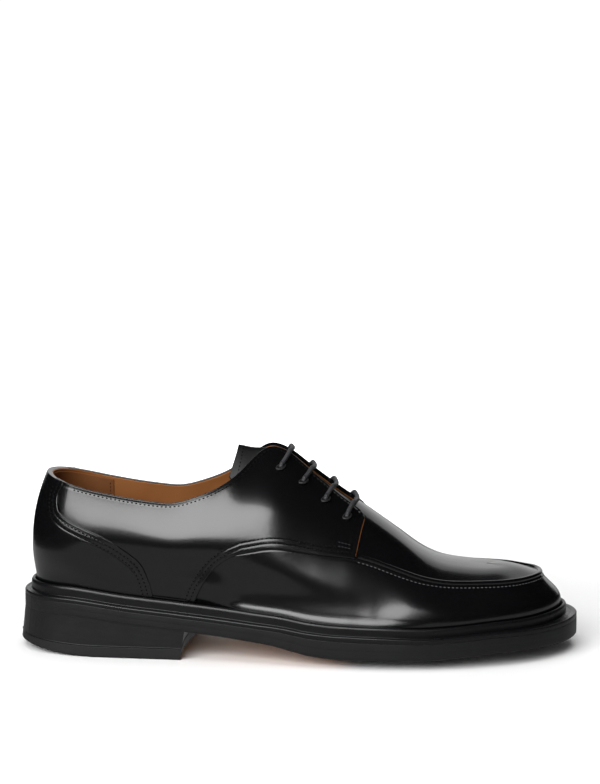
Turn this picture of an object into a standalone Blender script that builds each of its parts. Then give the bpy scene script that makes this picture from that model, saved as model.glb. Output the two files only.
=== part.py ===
"""Right-foot derby shoe with a raised apron seam on the toe, modelled in millimetres and built in metres.

X runs from the heel to the toe, +Y is the inner (medial) side, and Z is up from the floor.
"""

import bmesh
import bpy
import numpy as np

MM = 0.001

# Driving sizes of the last and the sole.
SHOE_LENGTH = 308.5
BALL_WIDTH = 105.0
INSTEP_HEIGHT = 92.0
HEEL_PITCH = 22.5
TOE_SPRING = 7.7
BALL_CAMBER = 5.0

# Thicknesses of the layers.
OUTSOLE = 4.4
MIDSOLE = 4.2
WELT = 2.6
TOP_PIECE = 6.0
INSOLE = 3.0
UPPER_WALL = 1.6
QUARTER_LEATHER = 1.2
COUNTER_LEATHER = 1.8
TONGUE_LEATHER = 2.4
GAP = 0.3

# The welt's bead, its ledge and the raised seam of the apron.
BEAD_HEIGHT = 5.8
BEAD_WIDTH = 2.5
WELT_LEDGE = 5.6
WELT_UNDER_UPPER = 5.0
SEAM_WIDTH = 2.8
SEAM_RISE = 1.4

# Heel.
BREAST_AT = 90.5
BREAST_SKEW = 7.0
BREAST_HOLLOW = 3.5
BREAST_RAKE = 2.0
BREAST_MEDIAL_RAKE = 7.0
HEEL_BEVEL = 5.0
HEEL_BEVEL_LENGTH = 40.0
HEEL_FLARE = 2.0

# Lacing.
TONGUE_HALF_WIDTH = 20.0
TONGUE_TOP_AT = 121.0
TONGUE_UNDER_VAMP = 9.0
TONGUE_FALL = 11.0
LACE_DIAMETER = 2.5
LACE_FROM_EDGE = 8.0
LACE_LEAN = 4.0
LACE_AT = {"lace_bar_1": 144.2, "lace_bar_2": 156.2, "lace_bar_3": 168.3, "lace_bar_4": 180.0}

# The lines of the last turn about these two places in the heel and the toe.
HEEL_PIVOT_AT = 40.0
TOE_PIVOT_AT = 258.0
PIVOT_BLEND = 6.0
EASE = 2.5

# Where the pieces of the upper begin and end along the shoe.
COLLAR_RISE_AT = 119.0
FACING_TOP_AT = 140.0
THROAT_AT = 189.0
TAB_FRONT_AT = 184.5
QUARTER_FOOT_AT = 97.5
QUARTER_BEND_AT = 124.0
COUNTER_FOOT_AT = 75.0
SEAM_FROM = TAB_FRONT_AT + 2.0

# Outline of the sole: station along the length, then the outer and inner edges as shares of the ball width.
OUTLINE_STATION, OUTLINE_LATERAL, OUTLINE_MEDIAL = range(3)
OUTLINE = np.array([
    (0.000, -0.020, 0.020),
    (0.012, -0.128, 0.140),
    (0.045, -0.228, 0.250),
    (0.110, -0.302, 0.318),
    (0.200, -0.332, 0.330),
    (0.290, -0.352, 0.312),
    (0.370, -0.384, 0.284),
    (0.450, -0.430, 0.296),
    (0.540, -0.480, 0.366),
    (0.630, -0.505, 0.448),
    (0.700, -0.505, 0.486),
    (0.775, -0.478, 0.494),
    (0.840, -0.424, 0.474),
    (0.900, -0.345, 0.430),
    (0.950, -0.228, 0.345),
    (0.985, -0.090, 0.234),
    (1.000, 0.066, 0.086),
])

# Lengthwise run of the sole: station, height of its underside as shares of the heel pitch and the toe
# spring, share of the camber, share of its thickness, and share of the ledge outside the upper.
RUN_STATION, RUN_PITCH, RUN_SPRING, RUN_CAMBER, RUN_THICK, RUN_LEDGE = range(6)
RUN = np.array([
    (0.00, 1.00, 0.00, 0.00, 0.82, 0.66),
    (0.09, 0.99, 0.00, 0.00, 0.82, 0.54),
    (0.20, 0.83, 0.00, 0.00, 0.82, 0.50),
    (0.29, 0.71, 0.00, 0.00, 0.82, 0.50),
    (0.34, 0.64, 0.00, 0.05, 0.82, 0.52),
    (0.41, 0.51, 0.00, 0.20, 0.84, 0.58),
    (0.47, 0.35, 0.00, 0.45, 0.92, 0.66),
    (0.52, 0.13, 0.00, 0.70, 1.06, 0.80),
    (0.58, 0.01, 0.00, 0.95, 1.10, 0.94),
    (0.61, 0.00, 0.00, 1.00, 1.08, 1.00),
    (0.71, 0.00, 0.00, 1.00, 1.00, 1.00),
    (0.75, 0.00, 0.07, 1.00, 0.98, 1.00),
    (0.83, 0.00, 0.34, 0.92, 0.96, 1.00),
    (0.90, 0.00, 0.60, 0.55, 0.96, 1.00),
    (0.96, 0.00, 0.86, 0.12, 0.98, 1.04),
    (1.00, 0.00, 1.00, 0.00, 1.00, 1.06),
])

# Sections of the last. Each row is a line up the shoe from the sole's edge, first to the breaking point
# (the apron seam in front), then to the top edge: the collar, the facing, or the apron beside its middle.
# Reaches are shares of the ball width from the middle line, heights are shares of the instep height above
# the sole, and tilts are degrees above level of a line that climbs inwards.
LAST_STATION, BREAK_LATERAL, BREAK_MEDIAL, BREAK_UP, TOP_REACH, TOP_UP, WALL_TILT, BREAK_TILT, TOP_TILT = range(9)
LAST = np.array([
    (0.018, 0.319, 0.319, 0.290, 0.233, 0.728, 88, 88, 66),
    (0.060, 0.306, 0.306, 0.290, 0.236, 0.704, 90, 90, 72),
    (0.150, 0.298, 0.298, 0.295, 0.246, 0.648, 92, 92, 80),
    (0.265, 0.318, 0.296, 0.320, 0.258, 0.632, 90, 90, 80),
    (0.330, 0.324, 0.288, 0.360, 0.246, 0.698, 86, 86, 74),
    (0.385, 0.332, 0.288, 0.395, 0.200, 0.806, 84, 84, 62),
    (0.425, 0.336, 0.292, 0.430, 0.095, 0.937, 82, 82, 46),
    (0.447, 0.338, 0.296, 0.448, 0.052, 0.990, 80, 80, 44),
    (0.465, 0.340, 0.300, 0.452, 0.048, 0.979, 78, 78, 42),
    (0.532, 0.338, 0.318, 0.440, 0.086, 0.834, 70, 68, 31),
    (0.590, 0.328, 0.322, 0.425, 0.125, 0.692, 62, 56, 25),
    (0.615, 0.326, 0.322, 0.408, 0.132, 0.641, 60, 48, 21),
    (0.680, 0.334, 0.316, 0.340, 0.125, 0.500, 57, 34, 13),
    (0.720, 0.336, 0.308, 0.298, 0.120, 0.406, 56, 27, 9),
    (0.765, 0.324, 0.298, 0.264, 0.112, 0.338, 55, 22, 5),
    (0.855, 0.282, 0.264, 0.242, 0.102, 0.298, 55, 18, 3),
    (0.925, 0.266, 0.266, 0.240, 0.098, 0.296, 56, 16, 3),
    (0.970, 0.294, 0.294, 0.246, 0.098, 0.298, 58, 14, 3),
])

# Middle line of the last: station and its sideways place as a share of the ball width.
MIDDLE = np.array([
    (0.00, 0.010),
    (0.30, -0.012),
    (0.45, 0.004),
    (0.65, 0.020),
    (0.84, 0.046),
    (1.00, 0.074),
])

# Edge of the counter: share of the way up the line, then its place between the heel and its foot.
COUNTER_EDGE = np.array([
    (0.000, 1.000),
    (0.150, 0.985),
    (0.275, 0.956),
    (0.400, 0.912),
    (0.475, 0.866),
    (0.575, 0.730),
    (0.650, 0.572),
    (0.700, 0.437),
    (0.750, 0.324),
    (0.800, 0.256),
    (0.900, 0.230),
    (1.000, 0.262),
])

# Front edge of the quarter below the breaking point: share of the way up, then of the way to its bend.
QUARTER_EDGE = np.array([
    (0.00, 0.000),
    (0.20, 0.080),
    (0.55, 0.260),
    (0.80, 0.480),
    (0.93, 0.720),
    (1.00, 1.000),
])

# Height that the tongue's top gains past the facing, as a share of the instep height.
TONGUE_LIFT = np.array([
    (0.0, 0.012),
    (0.5, -0.004),
    (1.0, 0.000),
])

LATERAL, MEDIAL = -1, 1
PLAN_POINTS = 720
BLACK_LEATHER = (0.008, 0.008, 0.009)
BLACK_EDGE = (0.012, 0.012, 0.013)
TAN_LEATHER = (0.38, 0.14, 0.04)
LACE_BLACK = (0.02, 0.02, 0.022)


def smooth(x, xs, ys):
    """Monotone cubic interpolation through the points (xs, ys)."""
    x = np.clip(np.asarray(x, float), xs[0], xs[-1])
    steps = np.diff(xs)
    slopes = np.diff(ys) / steps
    before, after = slopes[:-1], slopes[1:]
    same_way = before * after > 0
    weight_a = 2 * steps[1:] + steps[:-1]
    weight_b = steps[1:] + 2 * steps[:-1]
    safe_before = np.where(same_way, before, 1.0)
    safe_after = np.where(same_way, after, 1.0)
    inner = (weight_a + weight_b) / (weight_a / safe_before + weight_b / safe_after)
    tangents = np.concatenate([[slopes[0]], np.where(same_way, inner, 0.0), [slopes[-1]]])
    i = np.clip(np.searchsorted(xs, x, side="right") - 1, 0, len(xs) - 2)
    t = (x - xs[i]) / steps[i]
    rise = ys[i + 1] - ys[i]
    bend_a = tangents[i] * steps[i] - rise
    bend_b = rise - tangents[i + 1] * steps[i]
    return ys[i] + rise * t + t * (1 - t) * (bend_a * (1 - t) + bend_b * t)


def run(column, x):
    return smooth(x / SHOE_LENGTH, RUN[:, RUN_STATION], RUN[:, column])


def last(column, x):
    """A column of the last at a station, eased over its near neighbourhood."""
    shifts = EASE * np.array([-2, -1, 0, 1, 2])
    values = smooth((x + shifts) / SHOE_LENGTH, LAST[:, LAST_STATION], LAST[:, column])
    return float(values @ np.array([1, 4, 6, 4, 1]) / 16)


def middle(x):
    return BALL_WIDTH * smooth(x / SHOE_LENGTH, MIDDLE[:, 0], MIDDLE[:, 1])


def closed_curve(points, count):
    """A smooth closed curve through the points (centripetal Catmull-Rom), evenly spaced."""
    points = np.asarray(points, float)
    n = len(points)
    fine = []
    for i in range(n):
        p = [points[(i + k - 1) % n] for k in range(4)]
        knots = [0.0]
        for k in range(3):
            knots.append(knots[-1] + np.sqrt(np.linalg.norm(p[k + 1] - p[k])))
        t = np.linspace(knots[1], knots[2], 40, endpoint=False)[:, None]
        a = [((knots[k + 1] - t) * p[k] + (t - knots[k]) * p[k + 1]) / (knots[k + 1] - knots[k]) for k in range(3)]
        b = [((knots[k + 2] - t) * a[k] + (t - knots[k]) * a[k + 1]) / (knots[k + 2] - knots[k]) for k in range(2)]
        fine.append(((knots[2] - t) * b[0] + (t - knots[1]) * b[1]) / (knots[2] - knots[1]))
    fine = np.vstack(fine)
    ring = np.vstack([fine, fine[:1]])
    along = np.concatenate([[0], np.cumsum(np.linalg.norm(np.diff(ring, axis=0), axis=1))])
    at = np.linspace(0, along[-1], count, endpoint=False)
    return np.column_stack([np.interp(at, along, ring[:, k]) for k in range(2)])


def plan_normals(ring):
    """Outward unit normals of a counter-clockwise plan curve."""
    along = np.roll(ring, -3, axis=0) - np.roll(ring, 3, axis=0)
    normals = np.column_stack([along[:, 1], -along[:, 0]])
    return normals / np.linalg.norm(normals, axis=1)[:, None]


def sole_outline():
    """Edge of the sole from above, counter-clockwise from the middle of the heel's back."""
    lateral = [(r[OUTLINE_STATION] * SHOE_LENGTH, r[OUTLINE_LATERAL] * BALL_WIDTH) for r in OUTLINE[1:-1]]
    medial = [(r[OUTLINE_STATION] * SHOE_LENGTH, r[OUTLINE_MEDIAL] * BALL_WIDTH) for r in OUTLINE[1:-1]]
    back = (0.0, OUTLINE[0, 1:].mean() * BALL_WIDTH)
    toe = (SHOE_LENGTH, OUTLINE[-1, 1:].mean() * BALL_WIDTH)
    return closed_curve([back] + lateral + [toe] + medial[::-1], PLAN_POINTS)


RIM = sole_outline()
RIM_NORMALS = plan_normals(RIM)


def sole_thickness():
    return OUTSOLE + MIDSOLE + WELT + 2 * GAP


def inset(distance):
    """The sole's outline moved inwards by a distance, or by one for each point."""
    return RIM - RIM_NORMALS * np.reshape(distance, (-1, 1))


def ledge():
    """Width of the welt outside its bead, all round."""
    return WELT_LEDGE * run(RUN_LEDGE, RIM[:, 0])


def tuck():
    """Room between the bead and the upper for the quarter and the counter, which end behind the bead."""
    past = np.clip((RIM[:, 0] - QUARTER_FOOT_AT) / (QUARTER_BEND_AT - QUARTER_FOOT_AT), 0, 1)
    return (GAP + COUNTER_LEATHER) * (1 - past * past * (3 - 2 * past))


# Foot of the upper's outer face, inside the bead.
FOOT = inset(ledge() + BEAD_WIDTH + GAP + tuck())


def edge_share(x, y):
    """How far a place lies from the middle of the sole to its edge, 0 to 1."""
    stations = OUTLINE[:, OUTLINE_STATION]
    lateral = smooth(x / SHOE_LENGTH, stations, OUTLINE[:, OUTLINE_LATERAL]) * BALL_WIDTH
    medial = smooth(x / SHOE_LENGTH, stations, OUTLINE[:, OUTLINE_MEDIAL]) * BALL_WIDTH
    centre = (lateral + medial) / 2
    half = np.maximum((medial - lateral) / 2, BALL_WIDTH * 0.1)
    return np.abs(y - centre) / half


FLAT_SHARE = 0.28


def underside(x, y):
    """Height of the sole's underside above the floor."""
    raised = HEEL_PITCH * run(RUN_PITCH, x) + TOE_SPRING * run(RUN_SPRING, x)
    outwards = np.clip((edge_share(x, y) - FLAT_SHARE) / (1 - FLAT_SHARE), 0, 1.1)
    return raised + BALL_CAMBER * run(RUN_CAMBER, x) * outwards**2


def layer_top(depth, x, y):
    """Height of the level this far up through the sole's full thickness."""
    return underside(x, y) + depth * run(RUN_THICK, x)


def seat(x, y):
    """Height of the welt's top, on which the upper and the insole rest."""
    return layer_top(sole_thickness(), x, y)


def edge_seat(x):
    """Height of the welt's top at the edge of the sole."""
    raised = HEEL_PITCH * run(RUN_PITCH, x) + TOE_SPRING * run(RUN_SPRING, x)
    return raised + BALL_CAMBER * run(RUN_CAMBER, x) + sole_thickness() * run(RUN_THICK, x)


def pivot_x(x):
    """Station of the middle line that a line of the last points at, held between the two pivots."""
    def soft(value):
        return PIVOT_BLEND * np.logaddexp(0, value / PIVOT_BLEND)

    return HEEL_PIVOT_AT + soft(x - HEEL_PIVOT_AT) - soft(x - TOE_PIVOT_AT)


class Line:
    """One line of the last, in the upright plane from the upper's foot to the middle line."""

    def __init__(self, x, side):
        foot = FOOT[FOOT_ORDER[side]]
        self.x = x
        y = np.interp(x, foot[:, 0], foot[:, 1])
        if x >= foot[-1, 0]:
            y = foot[-1, 1]
        self.foot = np.array([np.clip(x, foot[0, 0], foot[-1, 0]), y])
        centre_x = pivot_x(x)
        self.centre = np.array([centre_x, middle(centre_x)])
        way = self.foot - self.centre
        self.reach = np.linalg.norm(way)
        self.out = way / self.reach
        self.base = edge_seat(centre_x)
        self.bead = seat(*self.foot) + BEAD_HEIGHT
        column = BREAK_LATERAL if side == LATERAL else BREAK_MEDIAL
        self.break_reach = BALL_WIDTH * last(column, x)
        self.break_z = self.base + INSTEP_HEIGHT * last(BREAK_UP, x)
        self.top_reach = BALL_WIDTH * last(TOP_REACH, x)
        self.top_z = self.base + INSTEP_HEIGHT * last(TOP_UP, x)
        self.wall_tilt, self.break_tilt, self.top_tilt = (
            np.radians(last(column, x)) for column in (WALL_TILT, BREAK_TILT, TOP_TILT)
        )

    def bow(self, start, end, start_tilt, end_tilt, t):
        """(reach, height) along a cubic that leaves and arrives at the given tilts."""
        start, end = np.array(start), np.array(end)
        pull = 0.38 * np.linalg.norm(end - start)
        a = start + pull * np.array([-np.cos(start_tilt), np.sin(start_tilt)])
        b = end - pull * np.array([-np.cos(end_tilt), np.sin(end_tilt)])
        return (1 - t) ** 3 * start + 3 * (1 - t) ** 2 * t * a + 3 * (1 - t) * t * t * b + t**3 * end

    def profile(self, v):
        """(reach, height) at share v of the way up: 0 at the bead, 1 at the break, 2 at the top edge."""
        middle_point = (self.break_reach, self.break_z)
        if v <= 1:
            return self.bow((self.reach, self.bead), middle_point, np.radians(97), self.wall_tilt, v)
        return self.bow(middle_point, (self.top_reach, self.top_z), self.break_tilt, self.top_tilt, v - 1)

    def crown(self, reach):
        """Height between the top edges, over the middle line."""
        rise = 0.5 * self.top_reach * np.tan(self.top_tilt)
        return self.top_z + rise * (1 - (reach / self.top_reach) ** 2)

    def at(self, v):
        if v < 0:
            depth = -v * (BEAD_HEIGHT - GAP)
            return np.array([*self.foot, self.bead - depth])
        if v > 2:
            reach = self.top_reach * (3 - v)
            return np.array([*(self.centre + self.out * reach), self.crown(reach)])
        reach, z = self.profile(v)
        return np.array([*(self.centre + self.out * reach), z])


def side_order(side):
    """Indices of the plan curve along one side, from the back of the heel to the tip of the toe."""
    back, tip = FOOT[:, 0].argmin(), FOOT[:, 0].argmax()
    count = len(FOOT)
    if side == LATERAL:
        return np.arange(back, back + (tip - back) % count + 1) % count
    return np.arange(back, back - (back - tip) % count - 1, -1) % count


FOOT_ORDER = {side: side_order(side) for side in (LATERAL, MEDIAL)}
BACK_X = FOOT[:, 0].min()
TIP_X = FOOT[:, 0].max()


def place(side, x):
    """Arc length along the foot of a side, from the heel's back, at a station."""
    foot = FOOT[FOOT_ORDER[side]]
    along = np.concatenate([[0], np.cumsum(np.linalg.norm(np.diff(foot, axis=0), axis=1))])
    return np.interp(x, foot[:, 0], along)


def station(side, along):
    foot = FOOT[FOOT_ORDER[side]]
    lengths = np.concatenate([[0], np.cumsum(np.linalg.norm(np.diff(foot, axis=0), axis=1))])
    return np.interp(along, lengths, foot[:, 0])


def spread(side, start, end, count):
    """Stations from start to end, evenly spaced along the side's foot."""
    return station(side, np.linspace(place(side, start), place(side, end), count))


def new_material(name, colour, roughness):
    material = bpy.data.materials.new(name)
    material.use_nodes = True
    shader = material.node_tree.nodes["Principled BSDF"]
    shader.inputs["Base Color"].default_value = (*colour, 1)
    shader.inputs["Roughness"].default_value = roughness
    return material


def add_object(name, points, faces, material):
    """A mesh object of closed, outward-facing faces from points in millimetres."""
    mesh = bpy.data.meshes.new(name)
    shift = np.array([PLAN_MIDDLE_X, PLAN_CENTRE, 0.0])
    mesh.from_pydata([tuple(p) for p in (np.array(points) - shift) * MM], [], faces)
    body = bmesh.new()
    body.from_mesh(mesh)
    bmesh.ops.recalc_face_normals(body, faces=body.faces)
    bmesh.ops.triangulate(body, faces=[f for f in body.faces if len(f.verts) > 3])
    if body.calc_volume(signed=True) < 0:
        bmesh.ops.reverse_faces(body, faces=body.faces)
    body.to_mesh(mesh)
    body.free()
    for polygon in mesh.polygons:
        polygon.use_smooth = True
    mesh.set_sharp_from_angle(angle=np.radians(40))
    mesh.materials.append(material)
    item = bpy.data.objects.new(name, mesh)
    bpy.context.scene.collection.objects.link(item)
    return item


PLAN_MIDDLE_X = (SHOE_LENGTH - HEEL_FLARE) / 2
PLAN_CENTRE = (RIM[:, 1].min() + RIM[:, 1].max()) / 2


def sheet_normals(points, faces):
    normals = np.zeros_like(points)
    for face in faces:
        corners = points[list(face)]
        area = np.zeros(3)
        for k in range(1, len(face) - 1):
            area += np.cross(corners[k] - corners[0], corners[k + 1] - corners[0])
        for vertex in face:
            normals[vertex] += area
    return normals / np.linalg.norm(normals, axis=1)[:, None]


def thicken(points, faces, outer, inner):
    """Closes a sheet into a wall from the outer to the inner distance along its normals."""
    points = np.array(points, float)
    normals = sheet_normals(points, faces)
    count = len(points)
    both = np.vstack([points + normals * outer, points + normals * inner])
    edges = {}
    for face in faces:
        for a, b in zip(face, face[1:] + face[:1]):
            edges[(a, b)] = True
    rim = [(a, b) for a, b in edges if (b, a) not in edges]
    solid = [tuple(face) for face in faces]
    solid += [tuple(v + count for v in reversed(face)) for face in faces]
    solid += [(b, a, a + count, b + count) for a, b in rim]
    return both, solid


def grid_faces(rows, columns, start=0):
    """Quads of a grid stored row by row."""
    faces = []
    for r in range(rows - 1):
        for c in range(columns - 1):
            a = start + r * columns + c
            faces.append((a, a + 1, a + columns + 1, a + columns))
    return faces


def slab(name, top_sides, low_sides, top, bottom, cross, material):
    """A solid between two height functions, in rows from the outer side to the inner one.

    Each pair of sides holds matching points of a plan outline; a row of no width is a rounded end.
    """
    points, faces = [], []
    rows = len(top_sides[0])
    for (outer, inner), height in ((top_sides, top), (low_sides, bottom)):
        for start, end in zip(outer, inner):
            for share in np.linspace(0, 1, cross):
                x, y = start + (end - start) * share
                points.append((x, y, height(x, y)))
    below = rows * cross
    upper_faces = grid_faces(rows, cross)
    faces += upper_faces + [tuple(v + below for v in reversed(face)) for face in upper_faces]
    border = [(r * cross, (r + 1) * cross) for r in range(rows - 1)]
    border += [((r + 1) * cross - 1, (r + 2) * cross - 1) for r in range(rows - 1)]
    border += [(c, c + 1) for c in range(cross - 1)]
    border += [((rows - 1) * cross + c, (rows - 1) * cross + c + 1) for c in range(cross - 1)]
    faces += [(a, b, b + below, a + below) for a, b in border]
    weld(name, points, faces, material)


def weld(name, points, faces, material):
    """Joins points that coincide, drops what collapsed, and adds the object."""
    points = np.array(points, float)
    _, first, index = np.unique(np.round(points, 4), axis=0, return_index=True, return_inverse=True)
    index = index.reshape(-1)
    kept = []
    for face in faces:
        corners = [int(index[v]) for v in face]
        corners = [v for k, v in enumerate(corners) if v != corners[k - 1]]
        if len(set(corners)) >= 3:
            kept.append(tuple(corners))
    return add_object(name, points[first], kept, material)


SOLE_ROWS = 34
SOLE_CROSS = 8
INSOLE_CROSS = 6


def picked(side):
    """Points of the outline used along one side, closer together at the heel and the toe."""
    order = rim_order(side)
    x = RIM[order, 0]
    wanted = SHOE_LENGTH * (1 - np.cos(np.linspace(0, np.pi, SOLE_ROWS + 1))) / 2
    return order[np.round(np.interp(wanted, x, np.arange(len(x)))).astype(int)]


def rim_order(side):
    back, tip = RIM[:, 0].argmin(), RIM[:, 0].argmax()
    count = len(RIM)
    if side == LATERAL:
        return np.arange(back, back + (tip - back) % count + 1) % count
    return np.arange(back, back - (back - tip) % count - 1, -1) % count


def sides_of(ring):
    return ring[picked(LATERAL)], ring[picked(MEDIAL)]


def loop_of(ring):
    outer, inner = sides_of(ring)
    return np.vstack([outer, inner[-2:0:-1]])


def add_sole(materials):
    """Outsole, midsole and the storm welt, one over another."""
    edge = sides_of(RIM)
    midsole_low = OUTSOLE + GAP
    midsole_top = midsole_low + MIDSOLE
    slab("outsole", edge, edge, lambda x, y: layer_top(OUTSOLE, x, y), underside, SOLE_CROSS, materials["edge"])
    slab("midsole", edge, edge, lambda x, y: layer_top(midsole_top, x, y),
         lambda x, y: layer_top(midsole_low, x, y), SOLE_CROSS, materials["edge"])
    add_welt(materials["edge"], midsole_top + GAP)


def add_welt(material, low):
    """A ring with a flat ledge and a rounded bead that stands against the upper."""
    bead_in = ledge() + BEAD_WIDTH
    inner_in = bead_in + tuck() + UPPER_WALL + GAP + WELT_UNDER_UPPER
    half = BEAD_WIDTH / 2
    rings = [
        (0.0, None, 0.0),
        (0.0, 1.0, 0.0),
        (ledge() - 0.3, 1.0, 0.0),
        (ledge(), 1.0, 0.62 * BEAD_HEIGHT),
        (ledge() + 0.3 * half, 1.0, 0.88 * BEAD_HEIGHT),
        (ledge() + half, 1.0, BEAD_HEIGHT),
        (ledge() + 1.7 * half, 1.0, 0.9 * BEAD_HEIGHT),
        (bead_in, 1.0, 0.6 * BEAD_HEIGHT),
        (bead_in, 1.0, -GAP),
        (inner_in, 1.0, -GAP),
        (inner_in, None, 0.0),
    ]
    points = []
    for distance, above, rise in rings:
        ring = loop_of(inset(distance + np.zeros(len(RIM))))
        for x, y in ring:
            z = layer_top(low, x, y) if above is None else seat(x, y) + rise
            points.append((x, y, z))
    count = 2 * SOLE_ROWS
    faces = []
    for r in range(len(rings)):
        s = (r + 1) % len(rings)
        for i in range(count):
            j = (i + 1) % count
            faces.append((r * count + i, r * count + j, s * count + j, s * count + i))
    weld("storm_welt", points, faces, material)


HEEL_ROWS = 14
HEEL_CROSS = 8


def heel_sides(z_share):
    """Both sides of the heel's plan at a share of its height, from the floor to the sole."""
    flare = HEEL_FLARE * (1 - z_share) * np.clip(1 - RIM[:, 0] / HEEL_PIVOT_AT, 0, 1)
    ring = RIM + RIM_NORMALS * flare[:, None]
    ends = {
        LATERAL: BREAST_AT + BREAST_RAKE * z_share,
        MEDIAL: BREAST_AT + BREAST_SKEW + BREAST_MEDIAL_RAKE * z_share,
    }
    sides = []
    for side, end in ends.items():
        line = ring[rim_order(side)]
        start = line[0, 0]
        x = start + (end - start) * (1 - np.cos(np.linspace(0, np.pi / 2, HEEL_ROWS + 1)))
        sides.append(np.column_stack([x, np.interp(x, line[:, 0], line[:, 1])]))
    return sides


def heel_block(name, low_share, high_share, bottom, top, material):
    """A block of the heel between two heights, with a hollow breast."""
    points, faces = [], []
    cross = HEEL_CROSS
    for share, height in ((high_share, top), (low_share, bottom)):
        outer, inner = heel_sides(share)
        for r, (start, end) in enumerate(zip(outer, inner)):
            for across in np.linspace(0, 1, cross):
                x, y = start + (end - start) * across
                x -= BREAST_HOLLOW * 4 * across * (1 - across) * (r / HEEL_ROWS) ** 4
                points.append((x, y, height(x, y)))
    rows = HEEL_ROWS + 1
    below = rows * cross
    upper_faces = grid_faces(rows, cross)
    faces += upper_faces + [tuple(v + below for v in reversed(face)) for face in upper_faces]
    border = [(r * cross, (r + 1) * cross) for r in range(rows - 1)]
    border += [((r + 1) * cross - 1, (r + 2) * cross - 1) for r in range(rows - 1)]
    border += [(c, c + 1) for c in range(cross - 1)]
    border += [((rows - 1) * cross + c, (rows - 1) * cross + c + 1) for c in range(cross - 1)]
    faces += [(a, b, b + below, a + below) for a, b in border]
    weld(name, points, faces, material)


def floor_face(x, y):
    """Underside of the top piece: flat on the floor, raised at the back."""
    back = np.clip((HEEL_BEVEL_LENGTH - x) / (HEEL_BEVEL_LENGTH + HEEL_FLARE), 0, 1)
    return HEEL_BEVEL * back**1.5


def add_heel(materials):
    """The stacked heel and the top piece that wears on the floor."""
    split = TOP_PIECE / HEEL_PITCH
    above = (TOP_PIECE + GAP) / HEEL_PITCH

    def joint(x, y):
        return TOP_PIECE + floor_face(x, y) / 2

    heel_block("heel_top_piece", 0, split, floor_face, joint, materials["edge"])
    heel_block("heel_stack", above, 1, lambda x, y: joint(x, y) + GAP, lambda x, y: underside(x, y) - GAP,
               materials["edge"])


def add_insole(material):
    """The footbed, inside the upper's foot and on the welt."""
    sides = sides_of(inset(ledge() + BEAD_WIDTH + tuck() + UPPER_WALL + 4 * GAP))
    slab("insole", sides, sides, lambda x, y: seat(x, y) + GAP + INSOLE, lambda x, y: seat(x, y) + GAP,
         INSOLE_CROSS, material)


WALL_ROWS = [-1.0, 0.0, 0.35, 0.7, 1.0]
TOP_ROWS = [1.25, 1.5, 1.75, 2.0]
CROWN_ROWS = [2.5, 3.0]


# Where the lines stand: round the apron from the back end of its seam, and from the heel to the toe.
APRON_STATIONS = np.concatenate([[SEAM_FROM], spread(LATERAL, THROAT_AT, TIP_X, 18)])
STATIONS = np.concatenate([
    spread(LATERAL, BACK_X, COLLAR_RISE_AT, 15)[:-1],
    spread(LATERAL, COLLAR_RISE_AT, FACING_TOP_AT, 5)[:-1],
    spread(LATERAL, FACING_TOP_AT, SEAM_FROM, 7)[:-1],
    APRON_STATIONS,
])


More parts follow.
